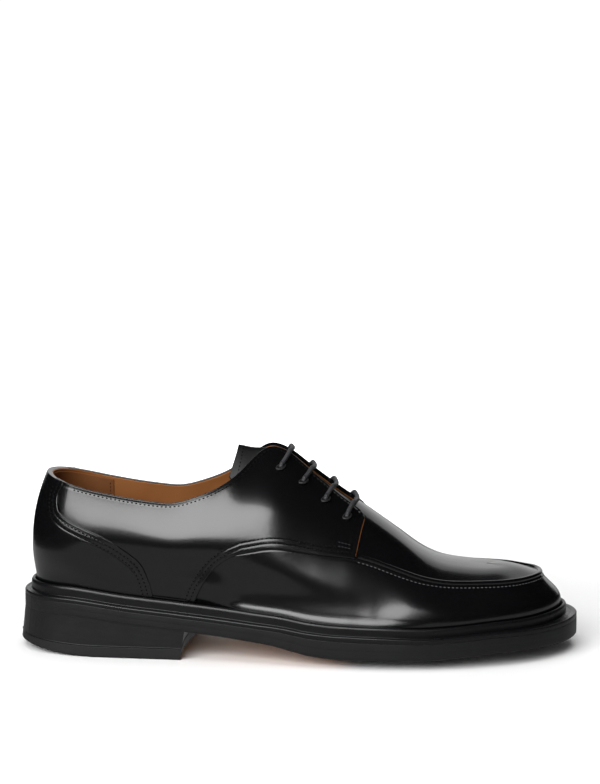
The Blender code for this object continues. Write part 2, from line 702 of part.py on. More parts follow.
class Surface:
    """The outside of the last as one sheet of triangles, from which every piece of the upper is cut."""

    def __init__(self):
        rows = WALL_ROWS + TOP_ROWS
        lateral = [(LATERAL, x) for x in STATIONS]
        medial = [(MEDIAL, x) for x in STATIONS]
        around = lateral + medial[::-1][1:-1]
        lines = [Line(x, side) for side, x in around]
        columns = len(around)
        self.points = [line.at(v) for v in rows for line in lines]
        self.params = [(x, v) for v in rows for _, x in around]
        quads = []
        for r in range(len(rows) - 1):
            for c in range(columns):
                d = (c + 1) % columns
                quads.append((r * columns + c, r * columns + d, (r + 1) * columns + d, (r + 1) * columns + c))
        first = len(STATIONS) - len(APRON_STATIONS) + 1
        previous = {c: (len(rows) - 1) * columns + c for c in range(first, columns - first + 1)}
        for v in CROWN_ROWS:
            current = {}
            for c in previous:
                current[c] = len(self.points)
                self.points.append(lines[c].at(v))
                self.params.append((around[c][1], v))
            quads += [(previous[c], previous[c + 1], current[c + 1], current[c]) for c in range(first, columns - first)]
            previous = current
        self.merge(quads)

    def merge(self, quads):
        """Makes points that coincide one, splits the quads and finds the normals."""
        points = np.array(self.points)
        _, first, index = np.unique(np.round(points, 3), axis=0, return_index=True, return_inverse=True)
        index = index.reshape(-1)
        self.points = points[first]
        self.params = np.array(self.params)[first]
        self.faces = []
        for a, b, c, d in quads:
            for corners in ((a, b, c), (a, c, d)):
                face = tuple(int(index[v]) for v in corners)
                if len(set(face)) == 3:
                    self.faces.append(face)
        self.normals = sheet_normals(self.points, self.faces)

    def side_of(self, face):
        """The side of the shoe that a face lies on."""
        corners = self.points[list(face)]
        centre = corners.mean(axis=0)
        return LATERAL if centre[1] < middle(centre[0]) else MEDIAL

    def cut(self, keep):
        """The part of the sheet where keep(side, x, v) is positive, as points, normals and faces."""
        points, normals, params = list(self.points), list(self.normals), list(self.params)
        crossings = {}

        def crossing(side, below, a, b):
            key = (min(a, b), max(a, b), below)
            if key not in crossings:
                low, high = 0.0, 1.0
                for _ in range(30):
                    share = (low + high) / 2
                    x, v = self.params[a] + (self.params[b] - self.params[a]) * share
                    if keep(side, x, v, below) > 0:
                        low = share
                    else:
                        high = share
                crossings[key] = len(points)
                points.append(self.points[a] + (self.points[b] - self.points[a]) * low)
                normals.append(self.normals[a] + (self.normals[b] - self.normals[a]) * low)
                params.append(self.params[a] + (self.params[b] - self.params[a]) * low)
            return crossings[key]

        faces = []
        for face in self.faces:
            side = self.side_of(face)
            below = self.params[list(face), 1].max() <= 1 + 1e-9
            if self.params[list(face), 1].min() < -1e-9:
                continue
            inside = [keep(side, *self.params[v], below) > 0 for v in face]
            if not any(inside):
                continue
            corners = []
            for k in range(3):
                a, b = face[k], face[(k + 1) % 3]
                if inside[k]:
                    corners.append(a)
                if inside[k] != inside[(k + 1) % 3]:
                    start, end = (a, b) if inside[k] else (b, a)
                    corners.append(crossing(side, below, start, end))
            faces.append(tuple(corners))
        return np.array(points), np.array(normals), faces


def walled(name, points, normals, faces, outer, inner, material):
    """A closed wall between two distances from a sheet."""
    used = sorted({v for face in faces for v in face})
    order = {v: k for k, v in enumerate(used)}
    faces = [tuple(order[v] for v in face) for face in faces]
    points, normals = points[used], normals[used]
    normals = normals / np.linalg.norm(normals, axis=1)[:, None]
    both = np.vstack([points + normals * outer, points + normals * inner])
    edges = {(a, b) for face in faces for a, b in zip(face, face[1:] + face[:1])}
    rim = [(a, b) for a, b in edges if (b, a) not in edges]
    count = len(points)
    solid = list(faces) + [tuple(v + count for v in reversed(face)) for face in faces]
    solid += [(b, a, a + count, b + count) for a, b in rim]
    weld(name, both, solid, material)


def add_upper(last_surface, material):
    """Vamp, apron and quarter lining as one hollow wall, open at the collar, the throat and underneath."""
    walled("upper", last_surface.points, last_surface.normals, last_surface.faces, 0.0, -UPPER_WALL, material)


def counter_x(v):
    """Station of the counter's edge at v up a line (0 to 2)."""
    share = smooth(v / 2, COUNTER_EDGE[:, 0], COUNTER_EDGE[:, 1])
    return BACK_X + share * (COUNTER_FOOT_AT - BACK_X)


def quarter_front_x(v, below):
    """Station of the quarter's front edge: a curve below the breaking line, the facing tab above it."""
    if not below:
        return TAB_FRONT_AT + (THROAT_AT - TAB_FRONT_AT) * (v - 1)
    share = smooth(v, QUARTER_EDGE[:, 0], QUARTER_EDGE[:, 1])
    return QUARTER_FOOT_AT + share * (QUARTER_BEND_AT - QUARTER_FOOT_AT)


def add_quarter(last_surface, name, wanted, material):
    """The quarter's leather over the vamp, from the counter to the facing tab."""
    def keep(side, x, v, below):
        if side != wanted or v > 2 + 1e-9:
            return -1
        return min(x - counter_x(v) - GAP - 0.2, quarter_front_x(v, below) - x)

    walled(name, *last_surface.cut(keep), GAP + QUARTER_LEATHER, GAP, material)


def add_counter(last_surface, material):
    """The heel piece over both quarters, wrapped round the back."""
    def keep(_side, x, v, _below):
        return counter_x(v) - x

    walled("counter", *last_surface.cut(keep), GAP + COUNTER_LEATHER, GAP, material)


def add_apron_seam(material):
    """The raised seam round the apron, from one facing tab round the toe to the other."""
    lines = [Line(x, LATERAL) for x in APRON_STATIONS]
    lines += [Line(x, MEDIAL) for x in APRON_STATIONS[-2::-1]]
    shape = [(0.0, 0.0), (0.05, 0.75), (0.35, 1.0), (0.7, 0.85), (1.0, 0.3), (0.95, 0.0)]
    points, faces = [], []
    for line in lines:
        edge = line.at(1.0)
        inwards = line.at(TOP_ROWS[0]) - edge
        inwards /= np.linalg.norm(inwards)
        level = np.array([*line.out, 0.0])
        lift = np.cross(np.cross(inwards, level), inwards)
        lift *= np.sign(lift[2]) / np.linalg.norm(lift)
        for along, rise in shape:
            points.append(edge + inwards * (along * SEAM_WIDTH) + lift * (GAP + 0.1 + rise * SEAM_RISE))
    sides = len(shape)
    for r in range(len(lines) - 1):
        for k in range(sides):
            n = (k + 1) % sides
            faces.append((r * sides + k, r * sides + n, (r + 1) * sides + n, (r + 1) * sides + k))
    faces.append(tuple(range(sides)))
    faces.append(tuple(reversed(range((len(lines) - 1) * sides, len(lines) * sides))))
    weld("apron_seam", points, faces, material)


def height_at_reach(line, reach):
    """Height of the last's outside at a distance from the middle line."""
    if reach <= line.top_reach:
        return line.crown(reach)
    curve = np.array([line.profile(v) for v in np.linspace(2, 1, 41)])
    return float(np.interp(reach, curve[:, 0], curve[:, 1]))


def over_throat(x, y_offset):
    """A point of the last's outside over the throat, with the facing's top section carried on to the rear."""
    side = LATERAL if y_offset < 0 else MEDIAL
    section_x = max(x, FACING_TOP_AT)
    line = Line(section_x, side)
    z = height_at_reach(line, abs(y_offset))
    past = np.clip((FACING_TOP_AT - x) / (FACING_TOP_AT - TONGUE_TOP_AT), 0, 1)
    lift = INSTEP_HEIGHT * smooth(1 - past, TONGUE_LIFT[:, 0], TONGUE_LIFT[:, 1])
    fall = TONGUE_FALL * np.sqrt(past) * (y_offset / TONGUE_HALF_WIDTH) ** 2
    return np.array([x, line.centre[1] + y_offset, z + lift - fall])


def add_tongue(material):
    """The tongue, under both facings and the back edge of the apron."""
    stations = np.linspace(TONGUE_TOP_AT, THROAT_AT + TONGUE_UNDER_VAMP, 12)
    shares = np.linspace(-1, 1, 11)
    points = []
    for x in stations:
        narrow = smooth((x - TONGUE_TOP_AT) / (THROAT_AT - TONGUE_TOP_AT), np.array([0.0, 0.12, 0.5, 1.0]),
                        np.array([0.72, 0.95, 1.0, 0.85]))
        for share in shares:
            points.append(over_throat(x, share * TONGUE_HALF_WIDTH * narrow))
    faces = [tuple(reversed(face)) for face in grid_faces(len(stations), len(shares))]
    outer = -(UPPER_WALL + 4 * GAP)
    both, solid = thicken(points, faces, outer, outer - TONGUE_LEATHER)
    weld("tongue", both, solid, material)


def add_lace_bar(name, x, material):
    """One crossing of the lace, pulled straight from the outer to the inner facing, its ends bent down."""
    radius = LACE_DIAMETER / 2
    height = GAP + QUARTER_LEATHER + 0.7 + radius
    curve = bpy.data.curves.new(name, "CURVE")
    curve.dimensions = "3D"
    spline = curve.splines.new("POLY")
    shares = np.linspace(-1, 1, 9)
    spline.points.add(len(shares) - 1)
    places = []
    for share in shares:
        station_x = x + LACE_LEAN * (1 - share**2)
        line = Line(station_x, LATERAL)
        offset = share * (line.top_reach + LACE_FROM_EDGE)
        p = over_throat(station_x, offset)
        ahead = over_throat(station_x + 2, offset)
        beside = over_throat(station_x, offset + 0.5)
        normal = np.cross(ahead - p, beside - p)
        bridged = max(line.crown(abs(offset)) - line.top_z, 0) if abs(offset) < line.top_reach else 0
        places.append(p + normal / np.linalg.norm(normal) * height - (0, 0, bridged))
    for point, place_mm in zip(spline.points, places):
        point.co = (*((place_mm - np.array([PLAN_MIDDLE_X, PLAN_CENTRE, 0.0])) * MM), 1)
    curve.bevel_depth = radius * MM
    curve.bevel_resolution = 2
    curve.use_fill_caps = True
    curve.materials.append(material)
    item = bpy.data.objects.new(name, curve)
    bpy.context.scene.collection.objects.link(item)


def clear_scene():
    for item in list(bpy.data.objects):
        bpy.data.objects.remove(item, do_unlink=True)


def build():
    clear_scene()
    leather = new_material("black_box_leather", BLACK_LEATHER, 0.22)
    materials = {"edge": new_material("black_sole_edge", BLACK_EDGE, 0.42)}
    lining = new_material("tan_leather", TAN_LEATHER, 0.6)
    lace = new_material("waxed_lace", LACE_BLACK, 0.55)
    add_sole(materials)
    add_heel(materials)
    add_insole(lining)
    last_surface = Surface()
    add_upper(last_surface, leather)
    add_quarter(last_surface, "quarter_lateral", LATERAL, leather)
    add_quarter(last_surface, "quarter_medial", MEDIAL, leather)
    add_counter(last_surface, leather)
    add_apron_seam(leather)
    add_tongue(leather)
    for name, x in LACE_AT.items():
        add_lace_bar(name, x, lace)


build()
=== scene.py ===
import math

import bmesh
import bpy
import numpy as np
from mathutils import Matrix, Vector


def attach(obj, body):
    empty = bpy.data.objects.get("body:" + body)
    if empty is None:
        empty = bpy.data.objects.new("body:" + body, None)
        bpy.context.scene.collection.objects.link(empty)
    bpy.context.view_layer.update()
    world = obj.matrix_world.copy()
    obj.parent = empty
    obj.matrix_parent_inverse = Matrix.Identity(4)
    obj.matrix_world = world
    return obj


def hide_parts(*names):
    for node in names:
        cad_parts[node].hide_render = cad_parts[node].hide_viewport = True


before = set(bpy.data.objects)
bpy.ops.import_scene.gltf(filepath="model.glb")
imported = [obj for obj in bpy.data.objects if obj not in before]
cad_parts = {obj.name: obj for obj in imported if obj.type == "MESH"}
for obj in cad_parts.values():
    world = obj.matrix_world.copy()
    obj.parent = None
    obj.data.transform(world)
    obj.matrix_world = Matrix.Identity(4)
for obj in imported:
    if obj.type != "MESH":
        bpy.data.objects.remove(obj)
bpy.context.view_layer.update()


# Camera and light
# The shoe stands on a white table in front of a white wall, seen from its outer side and a little from
# above. A soft box in front on the left draws the highlights, and two more fill from above and behind.

MM = 0.001
LATERAL, MEDIAL = -1, 1
SIDES = ((LATERAL, "lateral"), (MEDIAL, "medial"))
SHOE_LENGTH = 308.5
HEEL_FLARE = 2.0
MIDDLE_X = (SHOE_LENGTH - HEEL_FLARE) / 2
MIDDLE_Y = -0.6827
VIEW_TURN = math.radians(2.5)
VIEW_RISE = math.radians(12.5)
VIEW_DISTANCE = 1200.0
VIEW_SCALE = 1.797
VIEW_AIM = np.array([154.0, 0.0, 50.0])
AIM_BELOW_CENTRE = 164.9
PICTURE_LONG_SIDE = 784
SENSOR_WIDTH = 36.0
SHOE_MIDDLE = (0.0, 0.0, 0.05)


def to_frame(points):
    """Points in millimetres from the heel's back, as metres in the row frame."""
    return (np.asarray(points, float) - (MIDDLE_X, MIDDLE_Y, 0.0)) * MM


def place_camera():
    back = np.array([math.sin(VIEW_TURN) * math.cos(VIEW_RISE),
                     -math.cos(VIEW_TURN) * math.cos(VIEW_RISE), math.sin(VIEW_RISE)])
    drop = AIM_BELOW_CENTRE / (VIEW_SCALE * VIEW_DISTANCE)
    pitch = VIEW_RISE - math.atan(drop)
    forward = Vector((-math.sin(VIEW_TURN) * math.cos(pitch),
                      math.cos(VIEW_TURN) * math.cos(pitch), -math.sin(pitch)))
    data = bpy.data.cameras.new("camera")
    data.sensor_width = SENSOR_WIDTH
    data.lens = SENSOR_WIDTH * VIEW_SCALE * VIEW_DISTANCE / math.hypot(1, drop) / PICTURE_LONG_SIDE
    data.clip_start = 0.05
    data.clip_end = 30.0
    camera = bpy.data.objects.new("camera", data)
    bpy.context.scene.collection.objects.link(camera)
    camera.location = to_frame(VIEW_AIM + VIEW_DISTANCE * back)
    camera.rotation_mode = "QUATERNION"
    camera.rotation_quaternion = forward.to_track_quat("-Z", "Y")
    bpy.context.scene.camera = camera


def soft_box(name, place, aim, width, height, power, turn=0.0, mirrored=True):
    light = bpy.data.lights.new(name, "AREA")
    light.shape = "RECTANGLE"
    light.size = width
    light.size_y = height
    light.energy = power
    item = bpy.data.objects.new(name, light)
    bpy.context.scene.collection.objects.link(item)
    item.location = place
    item.rotation_mode = "QUATERNION"
    item.rotation_quaternion = ((Vector(aim) - Vector(place)).to_track_quat("-Z", "Y")
                                @ Matrix.Rotation(math.radians(turn), 4, "Z").to_quaternion())
    item.visible_glossy = mirrored


def towards(azimuth, rise, distance):
    """A place seen from the shoe: azimuth from the front towards the toe, and rise, in degrees."""
    azimuth, rise = math.radians(azimuth), math.radians(rise)
    level = distance * math.cos(rise)
    return (level * math.sin(azimuth), -level * math.cos(azimuth), SHOE_MIDDLE[2] + distance * math.sin(rise))


place_camera()
soft_box("quarter_box", towards(-28, 30, 1.5), SHOE_MIDDLE, 1.45, 0.9, 31, -4)
soft_box("top_box", (0.0, -0.1, 1.6), (0.0, 0.0, 0.0), 1.8, 1.4, 20, 0, False)
soft_box("rear_box", (0.0, 1.5, 1.0), (0.0, 0.0, 0.1), 2.0, 1.0, 5, 0, False)

world = bpy.data.worlds.new("studio")
world.use_nodes = True
background = world.node_tree.nodes["Background"].inputs
background["Color"].default_value = (1, 1, 1, 1)
background["Strength"].default_value = 0.004
bpy.context.scene.world = world
bpy.context.scene.view_settings.view_transform = "Standard"


class Value:
    """A number in a material, so that sums on it are written as sums."""

    def __init__(self, finish, socket):
        self.finish = finish
        self.socket = socket

    def with_(self, operation, *others):
        return self.finish.node("ShaderNodeMath", {"operation": operation}, self, *others)

    def __add__(self, other):
        return self.with_("ADD", other)

    def __sub__(self, other):
        return self.with_("SUBTRACT", other)

    def __rsub__(self, other):
        return self.finish.node("ShaderNodeMath", {"operation": "SUBTRACT"}, other, self)

    def __mul__(self, other):
        return self.with_("MULTIPLY", other)

    def __truediv__(self, other):
        return self.with_("DIVIDE", other)

    __radd__ = __add__
    __rmul__ = __mul__

    def bell(self, centre, width):
        """1 at the centre, falling to 0 a few widths away."""
        away = (self - centre) / width
        return (away * away * -1.0).with_("EXPONENT")

    def step(self, start, end):
        return self.finish.node("ShaderNodeMapRange", {"interpolation_type": "SMOOTHSTEP"}, self, start, end)


class Finish:
    """A material, with its Principled shader and a method that adds any other node."""

    def __init__(self, name, colour, roughness, **constants):
        self.material = bpy.data.materials.new(name)
        self.material.use_nodes = True
        self.tree = self.material.node_tree
        self.shader = self.tree.nodes["Principled BSDF"]
        self.shader.inputs["Base Color"].default_value = (*colour, 1)
        self.shader.inputs["Roughness"].default_value = roughness
        for socket, value in constants.items():
            self.shader.inputs[socket.replace("_", " ")].default_value = value

    def node(self, kind, settings, *inputs, output=0):
        node = self.tree.nodes.new(kind)
        for key, value in settings.items():
            setattr(node, key, value)
        for socket, value in zip([s for s in node.inputs if s.enabled], inputs):
            self.feed(value, socket)
        return Value(self, [s for s in node.outputs if s.enabled][output])

    def feed(self, value, socket):
        if isinstance(value, Value):
            self.tree.links.new(value.socket, socket)
        else:
            socket.default_value = (*value, 1) if socket.type == "RGBA" else value

    def place(self):
        return self.node("ShaderNodeTexCoord", {}, output=3)

    def noise(self, scale, detail=2.0, roughness=0.5, at=None):
        return self.node("ShaderNodeTexNoise", {}, at or self.place(), scale, detail, roughness)

    def attribute(self, name):
        return self.node("ShaderNodeAttribute", {"attribute_name": name}, output=2)

    def colour(self, value):
        self.feed(value, self.shader.inputs["Base Color"])

    def mix(self, share, a, b):
        return self.node("ShaderNodeMix", {"data_type": "RGBA"}, share, a, b)

    def roughness(self, value):
        self.feed(value, self.shader.inputs["Roughness"])

    def relief(self, height, depth=1.0, distance=MM):
        """Bumps from a height in steps of a distance."""
        bump = self.node("ShaderNodeBump", {}, depth, distance)
        self.feed(height, bump.socket.node.inputs["Height"])
        self.feed(bump, self.shader.inputs["Normal"])


def white_table():
    """The white table top, brighter away from the shoe where no shadow falls."""
    finish = Finish("white_table", (0.86, 0.86, 0.86), 0.9, Emission_Strength=1.0)
    flat = finish.node("ShaderNodeVectorMath", {"operation": "MULTIPLY"}, finish.place(), (0.55, 1.0, 0.2))
    away = finish.node("ShaderNodeVectorMath", {"operation": "LENGTH"}, flat)
    glow = away.step(0.12, 0.62)
    finish.feed(finish.mix(glow, (0.0, 0.0, 0.0), (1.0, 1.0, 1.0)), finish.shader.inputs["Emission Color"])
    return finish.material


def new_object(name, body, material):
    mesh = bpy.data.meshes.new(name)
    body.to_mesh(mesh)
    body.free()
    mesh.materials.append(material)
    item = bpy.data.objects.new(name, mesh)
    bpy.context.scene.collection.objects.link(item)
    return item


def round_stage(name, inner, outer, rise, material, mirrored, lit=True):
    """A ring of the table, swept up into a bowl at its outside."""
    body = bmesh.new()
    bmesh.ops.create_grid(body, x_segments=96, y_segments=30, size=1.0)
    for vertex in body.verts:
        turn = (vertex.co.x + 1) * math.pi
        share = (vertex.co.y + 1) / 2
        radius = inner + (outer - inner) * min(share * 2, 1.0)
        climb = max(share * 2 - 1, 0.0) * math.pi / 2
        radius += math.sin(climb) if rise else 0.0
        vertex.co = (radius * math.cos(turn), radius * math.sin(turn), rise * (1 - math.cos(climb)))
    bmesh.ops.remove_doubles(body, verts=body.verts, dist=1e-5)
    bmesh.ops.recalc_face_normals(body, faces=body.faces)
    if max(body.faces, key=lambda f: f.calc_area()).normal.z < 0:
        bmesh.ops.reverse_faces(body, faces=body.faces)
    item = new_object(name, body, material)
    item.visible_glossy = mirrored
    item.visible_diffuse = lit
    return item


# The leather mirrors a dimmer disc just under the table's top, which the camera doesn't see.
TABLE = white_table()
round_stage("table_near", 0.0, 0.7, 0.0, TABLE, False)
sheen = Finish("table_sheen", (0.0, 0.0, 0.0), 0.9, Emission_Strength=0.32, Emission_Color=(1, 1, 1, 1))
sheen_disc = round_stage("table_sheen", 0.0, 0.4, 0.0, sheen.material, True, False)
sheen_disc.visible_camera = False
sheen_disc.data.transform(Matrix.Translation((0, 0, -0.0005)))
round_stage("table_far", 0.7, 5.0, 4.0, TABLE, False, False)


def back_wall():
    """The white wall behind the shoe, which the leather mirrors at a glancing angle."""
    body = bmesh.new()
    bmesh.ops.create_grid(body, x_segments=2, y_segments=2, size=1.0)
    for vertex in body.verts:
        vertex.co = (vertex.co.x * 1.5, 2.0, 1.05 + vertex.co.y * 1.05)
    finish = Finish("white_wall", (0.8, 0.8, 0.8), 0.9, Emission_Strength=0.5, Emission_Color=(1, 1, 1, 1))
    item = new_object("back_wall", body, finish.material)
    item.visible_camera = False


back_wall()


# The last
# The wooden form that the leather is pulled over. It is not a piece of the shoe: its outside gives every
# piece of the upper its place, from the length, the ball width, the instep and the sole's own run.

BALL_WIDTH = 105.0
INSTEP_HEIGHT = 92.0
HEEL_PITCH = 22.5
TOE_SPRING = 7.7
BALL_CAMBER = 5.0
GAP = 0.3
OUTSOLE = 4.4
MIDSOLE = 4.2
WELT = 2.6
SOLE_THICKNESS = OUTSOLE + MIDSOLE + WELT + 2 * GAP
UPPER_WALL = 1.6
QUARTER_LEATHER = 1.2
COUNTER_LEATHER = 1.8
BEAD_HEIGHT = 5.8
BEAD_WIDTH = 2.5
WELT_LEDGE = 5.6
HEEL_PIVOT_AT = 40.0
TOE_PIVOT_AT = 258.0
PIVOT_BLEND = 6.0
EASE = 2.5
FACING_TOP_AT = 140.0
THROAT_AT = 189.0
TAB_FRONT_AT = 184.5
QUARTER_FOOT_AT = 97.5
QUARTER_BEND_AT = 124.0
COUNTER_FOOT_AT = 75.0
FLAT_SHARE = 0.28

# Edge of the sole: station, outer edge and inner edge as shares of the ball width.
OUTLINE = np.array([
    (0.000, -0.020, 0.020), (0.012, -0.128, 0.140), (0.045, -0.228, 0.250), (0.110, -0.302, 0.318),
    (0.200, -0.332, 0.330), (0.290, -0.352, 0.312), (0.370, -0.384, 0.284), (0.450, -0.430, 0.296),
    (0.540, -0.480, 0.366), (0.630, -0.505, 0.448), (0.700, -0.505, 0.486), (0.775, -0.478, 0.494),
    (0.840, -0.424, 0.474), (0.900, -0.345, 0.430), (0.950, -0.228, 0.345), (0.985, -0.090, 0.234),
    (1.000, 0.066, 0.086),
])

# Run of the sole: station, shares of pitch, spring, camber, thickness and ledge.
RUN_PITCH, RUN_SPRING, RUN_CAMBER, RUN_THICK, RUN_LEDGE = range(1, 6)
RUN = np.array([
    (0.00, 1.00, 0.00, 0.00, 0.82, 0.66), (0.09, 0.99, 0.00, 0.00, 0.82, 0.54),
    (0.20, 0.83, 0.00, 0.00, 0.82, 0.50), (0.29, 0.71, 0.00, 0.00, 0.82, 0.50),
    (0.34, 0.64, 0.00, 0.05, 0.82, 0.52), (0.41, 0.51, 0.00, 0.20, 0.84, 0.58),
    (0.47, 0.35, 0.00, 0.45, 0.92, 0.66), (0.52, 0.13, 0.00, 0.70, 1.06, 0.80),
    (0.58, 0.01, 0.00, 0.95, 1.10, 0.94), (0.61, 0.00, 0.00, 1.00, 1.08, 1.00),
    (0.71, 0.00, 0.00, 1.00, 1.00, 1.00), (0.75, 0.00, 0.07, 1.00, 0.98, 1.00),
    (0.83, 0.00, 0.34, 0.92, 0.96, 1.00), (0.90, 0.00, 0.60, 0.55, 0.96, 1.00),
    (0.96, 0.00, 0.86, 0.12, 0.98, 1.04), (1.00, 0.00, 1.00, 0.00, 1.00, 1.06),
])

# Sections of the last: station, reach of the break outside and inside, its height, reach and height of the
# top edge, and the tilts of the wall, of the break and of the top edge in degrees.
BREAK_LATERAL, BREAK_MEDIAL, BREAK_UP, TOP_REACH, TOP_UP, WALL_TILT, BREAK_TILT, TOP_TILT = range(1, 9)
LAST = np.array([
    (0.018, 0.319, 0.319, 0.290, 0.233, 0.728, 88, 88, 66),
    (0.060, 0.306, 0.306, 0.290, 0.236, 0.704, 90, 90, 72),
    (0.150, 0.298, 0.298, 0.295, 0.246, 0.648, 92, 92, 80),
    (0.265, 0.318, 0.296, 0.320, 0.258, 0.632, 90, 90, 80),
    (0.330, 0.324, 0.288, 0.360, 0.246, 0.698, 86, 86, 74),
    (0.385, 0.332, 0.288, 0.395, 0.200, 0.806, 84, 84, 62),
    (0.425, 0.336, 0.292, 0.430, 0.095, 0.937, 82, 82, 46),
    (0.447, 0.338, 0.296, 0.448, 0.052, 0.990, 80, 80, 44),
    (0.465, 0.340, 0.300, 0.452, 0.048, 0.979, 78, 78, 42),
    (0.532, 0.338, 0.318, 0.440, 0.086, 0.834, 70, 68, 31),
    (0.590, 0.328, 0.322, 0.425, 0.125, 0.692, 62, 56, 25),
    (0.615, 0.326, 0.322, 0.408, 0.132, 0.641, 60, 48, 21),
    (0.680, 0.334, 0.316, 0.340, 0.125, 0.500, 57, 34, 13),
    (0.720, 0.336, 0.308, 0.298, 0.120, 0.406, 56, 27, 9),
    (0.765, 0.324, 0.298, 0.264, 0.112, 0.338, 55, 22, 5),
    (0.855, 0.282, 0.264, 0.242, 0.102, 0.298, 55, 18, 3),
    (0.925, 0.266, 0.266, 0.240, 0.098, 0.296, 56, 16, 3),
    (0.970, 0.294, 0.294, 0.246, 0.098, 0.298, 58, 14, 3),
])
MIDDLE = np.array([(0.00, 0.010), (0.30, -0.012), (0.45, 0.004), (0.65, 0.020), (0.84, 0.046), (1.00, 0.074)])


def smooth(x, xs, ys):
    """Monotone cubic interpolation through the points (xs, ys)."""
    x = np.clip(np.asarray(x, float), xs[0], xs[-1])
    steps = np.diff(xs)
    slopes = np.diff(ys) / steps
    before, after = slopes[:-1], slopes[1:]
    same_way = before * after > 0
    weight_a = 2 * steps[1:] + steps[:-1]
    weight_b = steps[1:] + 2 * steps[:-1]
    inner = (weight_a + weight_b) / (weight_a / np.where(same_way, before, 1.0)
                                     + weight_b / np.where(same_way, after, 1.0))
    tangents = np.concatenate([[slopes[0]], np.where(same_way, inner, 0.0), [slopes[-1]]])
    i = np.clip(np.searchsorted(xs, x, side="right") - 1, 0, len(xs) - 2)
    t = (x - xs[i]) / steps[i]
    rise = ys[i + 1] - ys[i]
    bend_a = tangents[i] * steps[i] - rise
    bend_b = rise - tangents[i + 1] * steps[i]
    return ys[i] + rise * t + t * (1 - t) * (bend_a * (1 - t) + bend_b * t)


def run(column, x):
    return smooth(x / SHOE_LENGTH, RUN[:, 0], RUN[:, column])


def last(column, x):
    """A column of the last at a station, eased over its near neighbourhood."""
    shifts = EASE * np.array([-2, -1, 0, 1, 2])
    values = smooth((np.reshape(x, (-1, 1)) + shifts) / SHOE_LENGTH, LAST[:, 0], LAST[:, column])
    return values @ np.array([1, 4, 6, 4, 1]) / 16


def middle(x):
    return BALL_WIDTH * smooth(x / SHOE_LENGTH, MIDDLE[:, 0], MIDDLE[:, 1])


def closed_curve(points, count):
    """A smooth closed curve through the points (centripetal Catmull-Rom), evenly spaced."""
    n = len(points)
    fine = []
    for i in range(n):
        p = [points[(i + k - 1) % n] for k in range(4)]
        knots = [0.0]
        for k in range(3):
            knots.append(knots[-1] + np.sqrt(np.linalg.norm(p[k + 1] - p[k])))
        t = np.linspace(knots[1], knots[2], 40, endpoint=False)[:, None]
        a = [((knots[k + 1] - t) * p[k] + (t - knots[k]) * p[k + 1]) / (knots[k + 1] - knots[k]) for k in range(3)]
        b = [((knots[k + 2] - t) * a[k] + (t - knots[k]) * a[k + 1]) / (knots[k + 2] - knots[k]) for k in range(2)]
        fine.append(((knots[2] - t) * b[0] + (t - knots[1]) * b[1]) / (knots[2] - knots[1]))
    return even_line(np.vstack(fine), count, closed=True)


def lengths(line):
    """Length along a line of points, up to each of them."""
    return np.concatenate([[0], np.cumsum(np.linalg.norm(np.diff(line, axis=0), axis=1))])


def even_line(line, count, closed=False):
    """Points evenly spaced along a line, or round it without the last."""
    if closed:
        line = np.vstack([line, line[:1]])
    along = lengths(line)
    at = np.linspace(0, along[-1], count, endpoint=not closed)
    return np.column_stack([np.interp(at, along, column) for column in line.T])


def unit(vectors):
    return vectors / (np.linalg.norm(vectors, axis=-1, keepdims=True) + 1e-12)


def eased(share):
    """A share from 0 to 1 with a soft start and end."""
    share = np.clip(share, 0, 1)
    return share * share * (3 - 2 * share)


def softened(values, spread):
    """Values round a closed line, averaged with their neighbours over a spread in steps."""
    steps = np.arange(-3 * spread, 3 * spread + 1)
    weights = np.exp(-0.5 * (steps / spread) ** 2)
    weights /= weights.sum()
    return sum(w * np.roll(values, s, axis=0) for s, w in zip(steps, weights))


def plan_normals(ring):
    along = np.roll(ring, -3, axis=0) - np.roll(ring, 3, axis=0)
    return unit(np.column_stack([along[:, 1], -along[:, 0]]))


def sole_outline():
    """Edge of the sole from above, counter-clockwise from the middle of the heel's back."""
    lateral = OUTLINE[1:-1, [0, 1]] * (SHOE_LENGTH, BALL_WIDTH)
    medial = OUTLINE[1:-1, [0, 2]] * (SHOE_LENGTH, BALL_WIDTH)
    back = np.array([[0.0, OUTLINE[0, 1:].mean() * BALL_WIDTH]])
    toe = np.array([[SHOE_LENGTH, OUTLINE[-1, 1:].mean() * BALL_WIDTH]])
    return closed_curve(np.vstack([back, lateral, toe, medial[::-1]]), 720)


RIM = softened(sole_outline(), 3)
RIM_NORMALS = plan_normals(RIM)


def inset(distance):
    return RIM - RIM_NORMALS * np.reshape(distance, (-1, 1))


def ledge():
    return WELT_LEDGE * run(RUN_LEDGE, RIM[:, 0])


def tuck():
    past = eased((RIM[:, 0] - QUARTER_FOOT_AT) / (QUARTER_BEND_AT - QUARTER_FOOT_AT))
    return (GAP + COUNTER_LEATHER) * (1 - past)


FOOT = softened(inset(ledge() + BEAD_WIDTH + GAP + tuck()), 2)


def raised(x):
    return HEEL_PITCH * run(RUN_PITCH, x) + TOE_SPRING * run(RUN_SPRING, x)


def underside(x, y):
    """Height of the sole's underside above the floor."""
    outer, inner = (smooth(x / SHOE_LENGTH, OUTLINE[:, 0], OUTLINE[:, k]) * BALL_WIDTH for k in (1, 2))
    half = np.maximum((inner - outer) / 2, BALL_WIDTH * 0.1)
    outwards = np.clip((np.abs(y - (outer + inner) / 2) / half - FLAT_SHARE) / (1 - FLAT_SHARE), 0, 1.1)
    return raised(x) + BALL_CAMBER * run(RUN_CAMBER, x) * outwards**2


def layer_top(depth, x, y):
    return underside(x, y) + depth * run(RUN_THICK, x)


def seat(x, y):
    """Height of the welt's top, on which the upper stands."""
    return layer_top(SOLE_THICKNESS, x, y)


